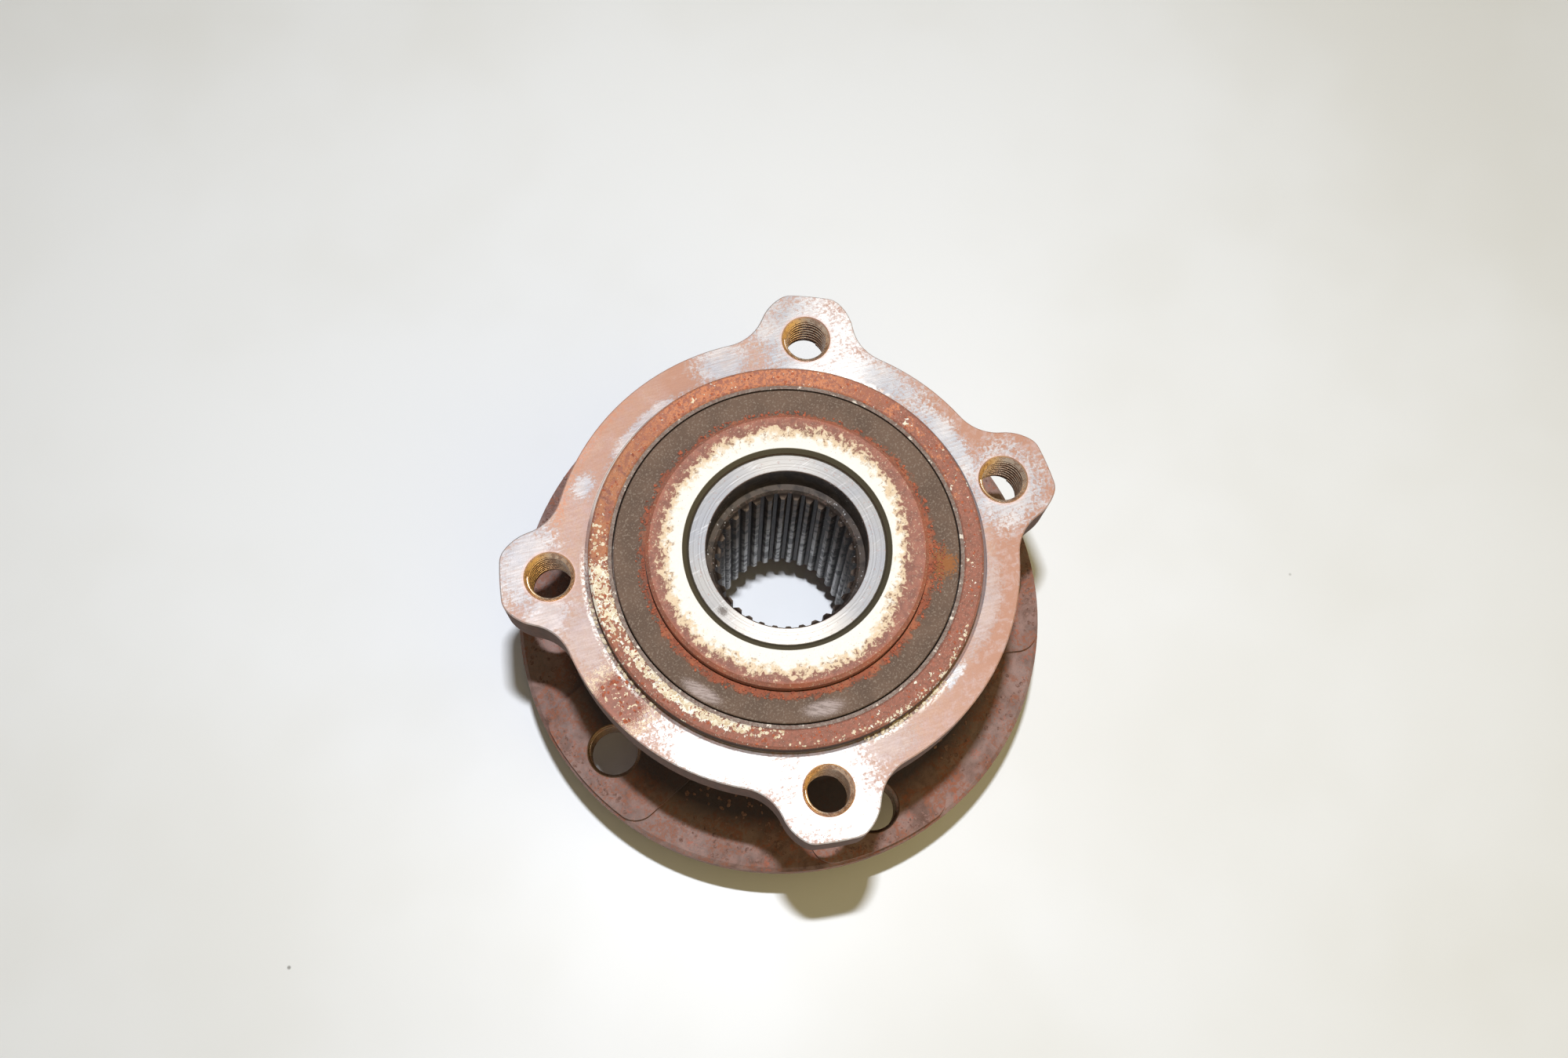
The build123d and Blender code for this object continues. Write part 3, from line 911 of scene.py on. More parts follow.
@dataclass(frozen=True)
class HubFinish(Finish):
    """Forged hub: mauve-brown rust, a bright ground spindle end and a dark, greasy splined bore."""

    name: str = "hub_rusted_forging"
    bolt_circle: float = 60.0
    bolt_phase: float = 25.4
    bolt_count: int = 5
    bolt_hole: float = 7.26
    nut_recess: float = 28.7
    disc_face: float = 39.5
    spindle_end: float = 65.7
    spindle_chamfer: Point = (23.6, 24.6)
    chamfer_foot: Point = (64.0, 64.6)
    # Radii and heights of the painted shade under the ear plate.
    shade_radii: Point = (25.0, 60.0)
    shade_heights: Point = (4.0, 7.0)
    mouth: float = 19.9
    spline_root: float = 17.65
    tooth_flank: Point = (17.4, 16.5)
    # Heights over which the tooth crests turn pale: painted light down the bore.
    painted_light_depth: Point = (44.0, 14.0)
    mauve: Colour = paint(140, 108, 98)
    rose: Colour = paint(170, 140, 130)
    umber: Colour = paint(94, 65, 52)
    orange: Colour = paint(176, 96, 68)
    # Two dark colours for pits, bore blotches and tooth grooves, also used as the painted shade under the ear
    # plate.
    soot_and_shade: Colour = paint(27, 19, 14)
    grime_and_shade: Colour = paint(40, 27, 20)
    russet: Colour = paint(148, 90, 64)
    ash: Colour = paint(128, 112, 107)
    steel: Colour = paint(148, 145, 141)
    blued: Colour = paint(136, 137, 141)
    # Painted highlight on the ground spindle end.
    painted_glint: Colour = paint(190, 184, 176)
    shade: Colour = paint(62, 55, 38)
    oily: Colour = paint(72, 62, 55)
    tooth: Colour = paint(126, 110, 98)
    sludge: Colour = paint(68, 57, 48)
    # A pale colour for fluff in the bore, also the painted light on the lower tooth crests.
    lint_and_painted_light: Colour = paint(214, 212, 210)
    # Amber on the bolt-hole walls is a painted warm reflection.
    amber: Colour = paint(116, 88, 54)
    worn: Colour = paint(168, 152, 146)
    oil_spot: Patch = Patch(21.96, 172.7, 0.9, 1.2, 0.75)

    def lay(self, surface: Surface) -> bpy.types.Material:
        """Put the forging, the ground spindle end, the bore and the bolt holes together.

        Args:
            surface: The new material.

        Returns:
            The finished material.
        """
        rust = surface.corrosion(9.0)
        fine = surface.corrosion(2.6)
        rings = surface.rings(0.22)
        streak = surface.streaks(-20.0, 6.0, 0.5)
        disc_face = surface.band(surface.height, -0.4, 0.4, 0.1) * surface.radius.step(
            self.disc_face - 0.5, self.disc_face + 0.5
        )
        contact = disc_face * streak.step(0.42, 0.62) * rust["Blotch"].step(0.2, 0.7)
        recess = surface.height.step(0.0, -1.0) * surface.radius.step(
            self.nut_recess + 0.5, self.nut_recess - 0.5
        )
        outside = surface.layers(
            self._forging(surface, rust, fine),
            (contact * 0.75, self.worn),
            (recess * 0.7, surface.mix(rings, self.worn, self.umber)),
        )
        end_face = surface.height.step(self.spindle_end - 0.12, self.spindle_end - 0.04) * surface.band(
            surface.radius, 15.0, 24.4, 0.1
        )
        polished = surface.layers(
            self.steel,
            (rust["Tone"] * 0.8, self.blued),
            # Painted highlight: the ground end is paler on two arcs where the lamp shines off it.
            (surface.highest(surface.arc(40, 26, 26) * 0.4, surface.arc(216, 34, 30)), self.painted_glint),
            (streak.step(0.55, 0.75, 0.0, 0.35), self.lint_and_painted_light),
            (surface.specks(1.3, 0.64, 0.05) * 0.5, self.mauve),
            (surface.patches((self.oil_spot,), fine["Grain"], 0.8, 0.8), self.oily),
        )
        chamfer = (
            surface.band(surface.radius, *self.spindle_chamfer, 0.1)
            * surface.height.step(*self.chamfer_foot)
            * (1 - end_face)
        )
        bored = surface.radius.step(self.mouth + 0.05, self.mouth - 0.2) * (1 - end_face)
        toothed = bored * surface.radius.step(self.spline_root + 0.1, self.spline_root - 0.1)
        bolt = surface.hole_distance(self.bolt_circle, self.bolt_phase, self.bolt_count)
        hole = bolt.step(self.bolt_hole + 0.04, self.bolt_hole - 0.04)

        colour = surface.layers(
            outside,
            # Bolt-hole walls: amber painted as a warm reflection, mixed by tone with umber rust.
            (hole, surface.mix(rust["Tone"], self.amber, self.umber)),
            (bored, self._bore(surface, rust, fine, bored, toothed)),
            (chamfer, self.shade),
            (end_face, polished),
        )
        bright = surface.highest(end_face, hole * 0.3, contact * 0.5, toothed * 0.5, bored * 0.3)
        roughness = surface.levels(0.85, (bright * 0.9, rings.step(0.3, 0.7, 0.56, 0.7)), (bored * 0.7, 0.42))
        relief = surface.levels(
            rust["Relief"] * 0.8 + fine["Relief"] * 0.6,
            (end_face, rings * 0.12 + fine["Relief"] * 0.1),
            (bored, fine["Relief"] * 0.4),
        )
        return surface.finish(colour, roughness, bright * 0.9, relief, 0.2)

    def _forging(self, surface: Surface, rust: Mapping[str, Wire], fine: Mapping[str, Wire]) -> Feed:
        """The rusted outside, with painted shade on the flange under the ring's ear plate.

        Args:
            surface: The material.
            rust: Its broad rust.
            fine: Its fine rust.

        Returns:
            The colour.
        """
        big = surface.corrosion(20.0)
        under_plate_shade = surface.band(surface.radius, *self.shade_radii, 5.0) * surface.height.step(*self.shade_heights)
        return surface.layers(
            self.umber,
            (rust["Blotch"], self.mauve),
            (rust["Tone"] * 0.65, self.rose),
            (surface.specks(0.22, 0.6, 0.12) * fine["Blotch"].step(0.3, 0.8) * 0.7, self.orange),
            (fine["Pits"] * 0.55, self.soot_and_shade),
            (fine["Grain"].step(0.6, 1.0) * 0.25, self.rose),
            (big["Blotch"].step(0.35, 0.75) * fine["Blotch"].step(0.1, 0.7) * 0.75, self.russet),
            (big["Tone"].step(0.45, 0.8) * rust["Grain"].step(0.3, 0.7) * 0.5, self.ash),
            # Painted shade: the flange under the ear plate is darkened almost to black.
            (under_plate_shade * 0.92, surface.mix(fine["Blotch"], self.soot_and_shade, self.grime_and_shade)),
        )

    def _bore(
        self, surface: Surface, rust: Mapping[str, Wire], fine: Mapping[str, Wire], bored: Wire, toothed: Wire
    ) -> Feed:
        """The greasy bore with its spline, its lower tooth crests painted pale as light reaching down the
        bore.

        Args:
            surface: The material.
            rust: Its broad rust.
            fine: Its fine rust.
            bored: Where the bore is.
            toothed: Where its teeth are.

        Returns:
            The colour.
        """
        deep = surface.radius.step(18.6, 18.3) * bored
        # Painted light: tooth crests grow pale from 44 mm down to 14 mm, where the lamp reaches down the
        # bore.
        crest = surface.mix(surface.height.step(*self.painted_light_depth), self.tooth, self.lint_and_painted_light)
        return surface.layers(
            self.sludge,
            (fine["Blotch"], self.oily),
            (deep * surface.specks(1.6, 0.58, 0.06) * 0.4, self.mauve),
            (toothed, surface.mix(surface.radius.step(*self.tooth_flank), self.grime_and_shade, crest)),
            (bored * rust["Blotch"].step(0.35, 0.8) * 0.75, self.soot_and_shade),
            (bored * surface.specks(1.1, 0.66, 0.03) * surface.arc(110, 30) * 0.8, self.lint_and_painted_light),
            (bored * surface.specks(1.7, 0.66, 0.03) * surface.arc(325, 40) * 0.8, self.lint_and_painted_light),
        )


@dataclass(frozen=True)
class InnerRingFinish(Finish):
    """Ground ring face: chalky and bright by the bore, rust towards its edge, with a ragged border."""

    name: str = "inner_ring_stained_steel"
    face: float = 66.8
    border: float = 30.8
    chamfer: float = 25.35
    chalk: Colour = paint(222, 217, 205)
    cream: Colour = paint(206, 183, 151)
    speck: Colour = paint(120, 86, 66)
    rust: Colour = paint(154, 98, 78)
    deep: Colour = paint(124, 78, 62)
    orange: Colour = paint(168, 94, 64)
    shade: Colour = paint(66, 58, 38)
    steel: Colour = paint(205, 204, 200)

    def lay(self, surface: Surface) -> bpy.types.Material:
        """Lay chalk and rust on the face, and rust on the side.

        Args:
            surface: The new material.

        Returns:
            The finished material.
        """
        rust = surface.corrosion(5.0)
        fine = surface.corrosion(1.8)
        wander = surface.radius + (rust["Blotch"] - 0.5) * 2.4 + (fine["Tone"] - 0.5) * 1.3
        wander = wander + surface.arc(301, 30, 25) * 1.6 + surface.arc(205, 60, 30) * -0.9
        outer = wander.step(self.border - 0.5, self.border + 0.5)
        creamy = wander.step(self.border - 3.2, self.border - 1.0)
        pale = surface.layers(
            self.chalk,
            (creamy, self.cream),
            (surface.specks(1.1, 0.57, 0.06) * creamy * 0.85, self.speck),
            (surface.specks(2.4, 0.68, 0.03) * 0.8, self.speck),
        )
        rusty = surface.layers(
            self.rust,
            (rust["Blotch"], self.deep),
            (surface.radius.step(32.4, 33.6) * rust["Tone"] * 0.7, self.orange),
            (surface.specks(2.1, 0.62, 0.04) * 0.6, self.cream),
        )
        on_top = surface.height.step(self.face - 1.4, self.face - 1.2)
        mouth = on_top * surface.radius.step(self.chamfer + 0.1, self.chamfer - 0.1)
        side = (1 - on_top) * surface.height.step(60.0, 62.0)
        colour = surface.layers(
            self.steel, (side, rusty), (on_top, surface.mix(outer, pale, rusty)), (mouth, self.shade)
        )
        pale_face = on_top * (1 - outer)
        metallic = surface.levels(0.9, (side, 0.1), (on_top, pale_face * 0.2), (mouth, 0.2))
        roughness = surface.levels(0.2, (side, 0.8), (on_top, fine["Grain"].step(0.0, 1.0, 0.55, 0.75)))
        relief = fine["Relief"] * on_top + surface.rings(0.2) * 0.08
        return surface.finish(colour, roughness, metallic, relief, 0.09)


@dataclass(frozen=True)
class EncoderFinish(Finish):
    """Magnetised rubber ring: grey-brown, speckled and scuffed, with rust creeping over its inner edge."""

    name: str = "encoder_rubber"
    creep: float = 36.1
    rubber: Colour = paint(86, 67, 53)
    dusty: Colour = paint(102, 80, 64)
    fleck: Colour = paint(142, 126, 110)
    rust: Colour = paint(146, 82, 58)
    bright_rust: Colour = paint(164, 98, 68)
    dark_rust: Colour = paint(100, 58, 43)
    scuff: Colour = paint(168, 150, 142)
    amber: Colour = paint(150, 90, 36)
    scuffs: tuple[Patch, ...] = (Patch(40.2, 187, 1.5, 4.6, 0.9), Patch(39.4, 230, 1.7, 4.4, 0.9))
    drips: tuple[Patch, ...] = (Patch(39.0, 303, 2.4, 2.6, 0.8), Patch(37.4, 303, 2.0, 4.0, 0.7))

    def lay(self, surface: Surface) -> bpy.types.Material:
        """Lay scuffs, an amber drip and creeping rust on the rubber.

        Args:
            surface: The new material.

        Returns:
            The finished material.
        """
        rust = surface.corrosion(5.0)
        fine = surface.corrosion(1.6)
        stripes = surface.streaks(-60.0, 3.0, 0.45).step(0.42, 0.55)
        scuffs = surface.patches(self.scuffs, fine["Grain"], 0.5, 0.8)
        wander = surface.radius + (rust["Blotch"] - 0.5) * 1.7 + (fine["Tone"] - 0.5) * 0.9
        reach = wander + surface.arc(80, 70, 30) * 0.7
        creep = reach.step(self.creep + 0.5, self.creep - 0.5) * fine["Tone"].step(0.0, 0.5, 0.55, 1.0)
        crust = surface.layers(
            self.rust,
            (rust["Tone"].step(0.3, 0.9), self.bright_rust),
            (fine["Pits"] * 0.8, self.dark_rust),
            (surface.specks(1.4, 0.62, 0.05), self.dark_rust),
        )
        colour = surface.layers(
            self.rubber,
            (rust["Tone"], self.dusty),
            (surface.specks(2.0, 0.58, 0.06) * 0.55, self.fleck),
            (scuffs * (stripes * 0.6 + 0.35), self.scuff),
            (surface.patches(self.drips, fine["Blotch"], 0.5, 0.9), self.amber),
            (creep, crust),
        )
        roughness = surface.levels(0.8, (scuffs, 0.6), (creep, 0.9))
        relief = fine["Relief"] * 0.35 + creep * (fine["Relief"] + 0.6)
        return surface.finish(colour, roughness, 0.0, relief, 0.1)


@dataclass(frozen=True)
class SheetFinish(Finish):
    """Pressed seal sheet: dull steel with brown stain and a few bright rubs on its rim."""

    name: str = "seal_sheet_steel"
    metal: Colour = paint(122, 110, 100)
    stain: Colour = paint(100, 74, 60)
    chalk: Colour = paint(206, 196, 180)

    def lay(self, surface: Surface) -> bpy.types.Material:
        """Lay stain and rubs on the sheet.

        Args:
            surface: The new material.

        Returns:
            The finished material.
        """
        fine = surface.corrosion(2.4)
        rub = surface.specks(0.5, 0.64, 0.04)
        colour = surface.layers(self.metal, (fine["Blotch"], self.stain), (rub * 0.8, self.chalk))
        metallic = fine["Blotch"].step(0.2, 0.8, 0.5, 0.15)
        roughness = fine["Grain"].step(0.0, 1.0, 0.55, 0.75)
        relief = fine["Relief"] * 0.5 + surface.rings(0.35) * 0.2
        return surface.finish(colour, roughness, metallic, relief, 0.04)


@dataclass(frozen=True)
class RubberFinish(Finish):
    """Black nitrile with a faint mould grain and a film of old grease."""

    name: str = "seal_rubber"
    rubber: Colour = paint(38, 36, 35)
    grease: Colour = paint(78, 66, 46)

    def lay(self, surface: Surface) -> bpy.types.Material:
        """Lay a film of grease on the rubber.

        Args:
            surface: The new material.

        Returns:
            The finished material.
        """
        fine = surface.corrosion(3.0)
        film = fine["Blotch"].step(0.55, 0.9) * 0.5
        colour = surface.mix(film, self.rubber, self.grease)
        return surface.finish(colour, surface.levels(0.6, (film, 0.35)), 0.0, fine["Grain"], 0.02)


@dataclass(frozen=True)
class CageFinish(Finish):
    """Glass-filled polyamide: near black-brown with short pale fibre streaks and a soft sheen."""

    name: str = "cage_polyamide"
    plastic: Colour = paint(52, 46, 40)
    fibre: Colour = paint(96, 86, 72)

    def lay(self, surface: Surface) -> bpy.types.Material:
        """Lay fibres in the plastic.

        Args:
            surface: The new material.

        Returns:
            The finished material.
        """
        fine = surface.corrosion(3.0)
        fibres = surface.streaks(25.0, 1.6, 0.12).step(0.6, 0.72)
        colour = surface.layers(self.plastic, (fibres * 0.6, self.fibre), (fine["Tone"] * 0.2, self.fibre))
        roughness = fine["Grain"].step(0.0, 1.0, 0.42, 0.58)
        return surface.finish(colour, roughness, 0.0, fibres * 0.3 + fine["Grain"], 0.02)


@dataclass(frozen=True)
class BallFinish(Finish):
    """Lapped bearing steel with a light haze and fine rolling bands."""

    name: str = "ball_lapped_steel"
    steel: Colour = paint(206, 206, 208)
    haze: Colour = paint(168, 158, 140)

    def lay(self, surface: Surface) -> bpy.types.Material:
        """Lay haze and bands on the steel.

        Args:
            surface: The new material.

        Returns:
            The finished material.
        """
        fine = surface.corrosion(4.0)
        bands = surface.streaks(70.0, 9.0, 0.3).step(0.5, 0.66)
        colour = surface.mix(fine["Blotch"] * 0.25, self.steel, self.haze)
        roughness = surface.levels(0.09, (fine["Blotch"] * 0.5, 0.2), (bands * 0.4, 0.26))
        return surface.finish(colour, roughness, 1.0, bands * 0.3, 0.002)


@dataclass(frozen=True)
class ThreadFinish(Finish):
    """Cut thread: a painted warm reflection, yellow, on the flanks that face one way, grey steel and brown
    stain elsewhere.
    """

    name: str
    # Yellow painted on the flanks that face one way, as a reflection of the warm lamp.
    warm_reflection: Colour = paint(208, 162, 94)
    steel: Colour = paint(178, 162, 146)
    stain: Colour = paint(112, 70, 46)
    reflecting_side: tuple[float, float, float] = (0.516, -0.857, 0.0)

    def lay(self, surface: Surface) -> bpy.types.Material:
        """Lay the painted warm reflection and the stain on the thread.

        Args:
            surface: The new material.

        Returns:
            The finished material.
        """
        fine = surface.corrosion(3.0)
        sides = {0: surface.wire("ShaderNodeNewGeometry", output="Normal"), 1: self.reflecting_side}
        facing = surface.wire("ShaderNodeVectorMath", sides, "Value", operation="DOT_PRODUCT")
        colour = surface.layers(
            self.steel,
            # Painted reflection: flanks turned towards one side go yellow.
            (facing.step(-0.1, 0.6), self.warm_reflection),
            (fine["Blotch"].step(0.3, 0.9) * 0.55, self.stain),
        )
        return surface.finish(colour, fine["Grain"].step(0.0, 1.0, 0.24, 0.42), 0.85, fine["Relief"], 0.03)


class Crust(Enum):
    """Kinds of loose scale that build up on the part: light colour, dark colour, roughness."""

    CREAM = (paint(230, 218, 192), paint(198, 172, 134), 0.75)
    ORANGE = (paint(182, 96, 62), paint(126, 70, 52), 0.9)
    MAUVE = (paint(150, 118, 107), paint(104, 72, 60), 0.9)


@dataclass(frozen=True)
class ScaleFinish(Finish):
    """Flaky scale of one kind."""

    crust: Crust

    @property
    def name(self) -> str:
        """The material's name, after the kind of scale."""
        return f"scale_{self.crust.name.lower()}"

    def lay(self, surface: Surface) -> bpy.types.Material:
        """Mottle the scale.

        Args:
            surface: The new material.

        Returns:
            The finished material.
        """
        light, dark, roughness = self.crust.value
        fine = surface.corrosion(2.0)
        colour = surface.mix(fine["Blotch"], light, dark)
        varied = fine["Grain"].step(0.0, 1.0, roughness - 0.1, roughness + 0.1)
        return surface.finish(colour, varied, 0.0, fine["Relief"], 0.06)


class Recipe(Graph):
    """A Geometry Nodes tree with named inputs that is run to give plain meshes."""

    def __init__(self, name: str, inputs: Mapping[str, Union[int, float]]) -> None:
        """Start the tree.

        Args:
            name: The tree's name.
            inputs: Each input's name and first value.
        """
        super().__init__(bpy.data.node_groups.new(name, "GeometryNodeTree"))
        for label, value in inputs.items():
            kind = "NodeSocketInt" if isinstance(value, int) else "NodeSocketFloat"
            self.tree.interface.new_socket(label, in_out="INPUT", socket_type=kind).default_value = value
        self.tree.interface.new_socket("Finish", in_out="INPUT", socket_type="NodeSocketMaterial")
        self.tree.interface.new_socket("Geometry", in_out="OUTPUT", socket_type="NodeSocketGeometry")
        self.inputs = self.outputs(self.node("NodeGroupInput"))

    def close(self, geometry: Wire) -> None:
        """Realize the instances, set the finish and end the tree.

        Args:
            geometry: The geometry that the tree has made.
        """
        real = self.wire("GeometryNodeRealizeInstances", {0: geometry})
        coat = {"Geometry": real, "Material": self.inputs["Finish"]}
        self.node("NodeGroupOutput", {0: self.wire("GeometryNodeSetMaterial", coat)})

    def random(self, low: Feed, high: Feed, offset: int) -> Wire:
        """A random value for each point.

        Args:
            low: Lowest value.
            high: Highest value.
            offset: What is added to the tree's seed.

        Returns:
            The random value.
        """
        seed = self.inputs["Seed"] + float(offset)
        made = self.node("FunctionNodeRandomValue", {"Seed": seed}, data_type="FLOAT")
        numbers = [socket for socket in made.inputs if socket.type == "VALUE"]
        for socket, value in zip(numbers, (low, high)):
            self.feed(socket, value)
        return Wire(self, next(socket for socket in made.outputs if socket.type == "VALUE"))

    def mesh(self, finish: bpy.types.Material, **values: Union[int, float]) -> bpy.types.Mesh:
        """Run the tree once.

        Args:
            finish: The material that the mesh gets.
            **values: The inputs that differ, with underscores for spaces.

        Returns:
            The plain mesh.
        """
        carrier = bpy.data.objects.new("carrier", bpy.data.meshes.new("carrier"))
        show(carrier)
        modifier = carrier.modifiers.new("recipe", "NODES")
        modifier.node_group = self.tree
        given = {label.replace("_", " "): value for label, value in values.items()}
        given["Finish"] = finish
        for item in self.tree.interface.items_tree:
            if item.item_type == "SOCKET" and item.in_out == "INPUT" and item.name in given:
                modifier[item.identifier] = given[item.name]
        ready = carrier.evaluated_get(bpy.context.evaluated_depsgraph_get())
        mesh = bpy.data.meshes.new_from_object(ready)
        bpy.data.objects.remove(carrier)
        return mesh


class ThreadRecipe(Recipe):
    """The ridge of an internal thread, wound upwards inside a drilled hole.

    Attributes:
        overlap: Height of the swept section, as a share of the ridge's height.
        foot: Its width at the wall, as a share of the pitch.
        crest: Its width at the crest, as a share of the pitch.
    """

    overlap = 1.1
    foot = 0.85
    crest = 0.22

    def __init__(self) -> None:
        """Build the tree: a helix swept with the ridge's section."""
        super().__init__(
            "thread ridge",
            {
                "X": 0.0, "Y": 0.0, "Base": 0.0, "Length": 0.01,
                "Wall Radius": 0.006, "Pitch": 0.0015, "Segments": 56,
            },
        )
        given = self.inputs
        ridge = given["Pitch"] * RIDGE_HEIGHT
        middle = given["Wall Radius"] - ridge * 0.5
        helix = {
            "Resolution": given["Segments"], "Rotations": given["Length"] / given["Pitch"],
            "Start Radius": middle, "End Radius": middle, "Height": given["Length"],
        }
        path = self.wire("GeometryNodeCurveSpiral", helix)
        upright = self.wire("GeometryNodeSetCurveNormal", {"Curve": path}, mode="Z_UP")
        section = self.node("GeometryNodeCurvePrimitiveQuadrilateral", mode="TRAPEZOID")
        sides = {
            "Height": ridge * self.overlap, "Bottom Width": given["Pitch"] * self.foot,
            "Top Width": given["Pitch"] * self.crest, "Offset": 0.0,
        }
        for label, value in sides.items():
            self.feed(section.inputs[label], value)
        outline = self.outputs(section)["Curve"]
        quarter = (0.0, 0.0, math.pi / 2)
        turned = self.wire("GeometryNodeTransform", {"Geometry": outline, "Rotation": quarter})
        sweep = {"Curve": upright, "Profile Curve": turned, "Fill Caps": True}
        swept = self.wire("GeometryNodeCurveToMesh", sweep)
        place = self.vector(given["X"], given["Y"], given["Base"])
        self.close(self.wire("GeometryNodeTransform", {"Geometry": swept, "Translation": place}))


class FlakeRecipe(Recipe):
    """Thin flakes strewn over a flat ring sector."""

    def __init__(self) -> None:
        """Build the tree: seeded points in polar places, each with a squashed pebble."""
        super().__init__(
            "strewn flakes",
            {
                "Count": 100, "Inner": 0.04, "Outer": 0.05, "Start": 0.0, "End": 90.0, "Level": 0.0,
                "Smallest": 0.0002, "Largest": 0.0006, "Thickness": 0.0001, "Seed": 1,
            },
        )
        given = self.inputs
        turn = self.random(given["Start"], given["End"], 1) * DEGREE
        reach = self.random(given["Inner"], given["Outer"], 2)
        east = self.math("COSINE", turn) * reach
        north = self.math("SINE", turn) * reach
        spots = {"Count": given["Count"], "Position": self.vector(east, north, given["Level"])}
        length = self.random(given["Smallest"], given["Largest"], 3)
        width = length * self.random(0.45, 0.95, 4)
        strewn = {
            "Points": self.wire("GeometryNodePoints", spots),
            "Instance": self.wire("GeometryNodeMeshIcoSphere", {"Radius": 1.0, "Subdivisions": 1}),
            "Rotation": self.vector(0.0, 0.0, self.random(0.0, 6.28, 5)),
            "Scale": self.vector(length, width, given["Thickness"]),
        }
        self.close(self.wire("GeometryNodeInstanceOnPoints", strewn))


@dataclass(frozen=True)
class Drift:
    """Flakes lying on one sector of a flat ring.

    Attributes:
        count: Number of flakes.
        inner: Inner radius of the sector, mm.
        outer: Outer radius, mm.
        start: Where it starts, degrees.
        end: Where it ends, degrees.
        level: Height of the surface they lie on, mm.
        largest: Half the length of the largest flake, mm.
        thickness: Half their thickness, mm.
        seed: Seed of their places and sizes.
        least: Length of the smallest flake, as a share of the largest.
    """

    count: int
    inner: float
    outer: float
    start: float
    end: float
    level: float
    largest: float
    thickness: float
    seed: int
    least: float = 0.3

    def mesh(self, recipe: FlakeRecipe, finish: bpy.types.Material) -> bpy.types.Mesh:
        """Strew the flakes.

        Args:
            recipe: The flake maker.
            finish: Their material.

        Returns:
            Their mesh.
        """
        return recipe.mesh(
            finish, Count=self.count, Inner=self.inner * MM, Outer=self.outer * MM, Start=self.start,
            End=self.end, Level=self.level * MM, Smallest=self.largest * self.least * MM,
            Largest=self.largest * MM, Thickness=self.thickness * MM, Seed=self.seed,
        )


def lathe(profile: Sequence[Point], centre: Point, steps: int = 72) -> bpy.types.Mesh:
    """Turn a closed profile about an upright axis.

    Args:
        profile: Pairs of radius and height, mm.
        centre: Where the axis stands, mm.
        steps: Flats around the ring.

    Returns:
        A closed ring whose faces point outwards.
    """
    ring = bmesh.new()
    rows = []
    for turn in (2 * math.pi * step / steps for step in range(steps)):
        spots = [
            (centre[0] + radius * math.cos(turn), centre[1] + radius * math.sin(turn), height)
            for radius, height in profile
        ]
        rows.append([ring.verts.new(Vector(spot) * MM) for spot in spots])
    for here, there in zip(rows, rows[1:] + rows[:1]):
        for corner, after in enumerate([*range(1, len(profile)), 0]):
            ring.faces.new((here[corner], there[corner], there[after], here[after]))
    bmesh.ops.recalc_face_normals(ring, faces=ring.faces[:])
    mesh = bpy.data.meshes.new("ring")
    ring.to_mesh(mesh)
    ring.free()
    return mesh


@dataclass(frozen=True)
class Thread:
    """A metric thread through a plate, in mm.

    Attributes:
        pitch: Distance between turns.
        wall_radius: Radius of the drilled wall, the thread's nominal radius.
        low_face: Height of the plate's lower face.
        high_face: Height of its upper face.
        chamfer: Chamfer at both mouths.
        sunk: How far the leads reach into the wall.
        lead_length: Length of the straight part of a lead.
    """

    pitch: float
    wall_radius: float
    low_face: float
    high_face: float
    chamfer: float
    sunk: float = 0.03
    lead_length: float = 0.4

    def lead(self, centre: Point, face: float, inwards: float) -> bpy.types.Mesh:
        """The countersunk lead at one mouth.

        Args:
            centre: The hole's centre.
            face: Height of the plate's face there.
            inwards: 1 where the hole runs upwards from the face, -1 where it runs down.

        Returns:
            A closed ring.
        """
        crest = self.wall_radius - RIDGE_HEIGHT * self.pitch
        root = self.wall_radius + self.sunk
        mouth = face + inwards * (self.chamfer - self.sunk)
        end = mouth + inwards * (root - crest)
        back = end + inwards * self.lead_length
        return lathe([(root, mouth), (crest, end), (crest, back), (root, back)], centre)

    def meshes(
        self, recipe: ThreadRecipe, centres: Iterable[Point], finish: bpy.types.Material
    ) -> list[bpy.types.Mesh]:
        """Cut the thread in each hole.

        Args:
            recipe: The ridge maker.
            centres: Hole centres in mm.
            finish: The thread's material.

        Returns:
            The ridge and both leads of each hole.
        """
        made = []
        margin = self.chamfer + RIDGE_HEIGHT * self.pitch
        base, length = self.low_face + margin, self.high_face - self.low_face - 2 * margin
        for x, y in centres:
            ridge = recipe.mesh(
                finish, X=x * MM, Y=y * MM, Base=base * MM, Length=length * MM,
                Wall_Radius=self.wall_radius * MM, Pitch=self.pitch * MM,
            )
            made += [ridge, self.lead((x, y), self.high_face, -1.0), self.lead((x, y), self.low_face, 1.0)]
        return made


def on_circle(radius: float, angles: Iterable[float]) -> list[Point]:
    """Points at a radius and several angles in degrees, as pairs of mm."""
    return [(radius * math.cos(math.radians(turn)), radius * math.sin(math.radians(turn))) for turn in angles]


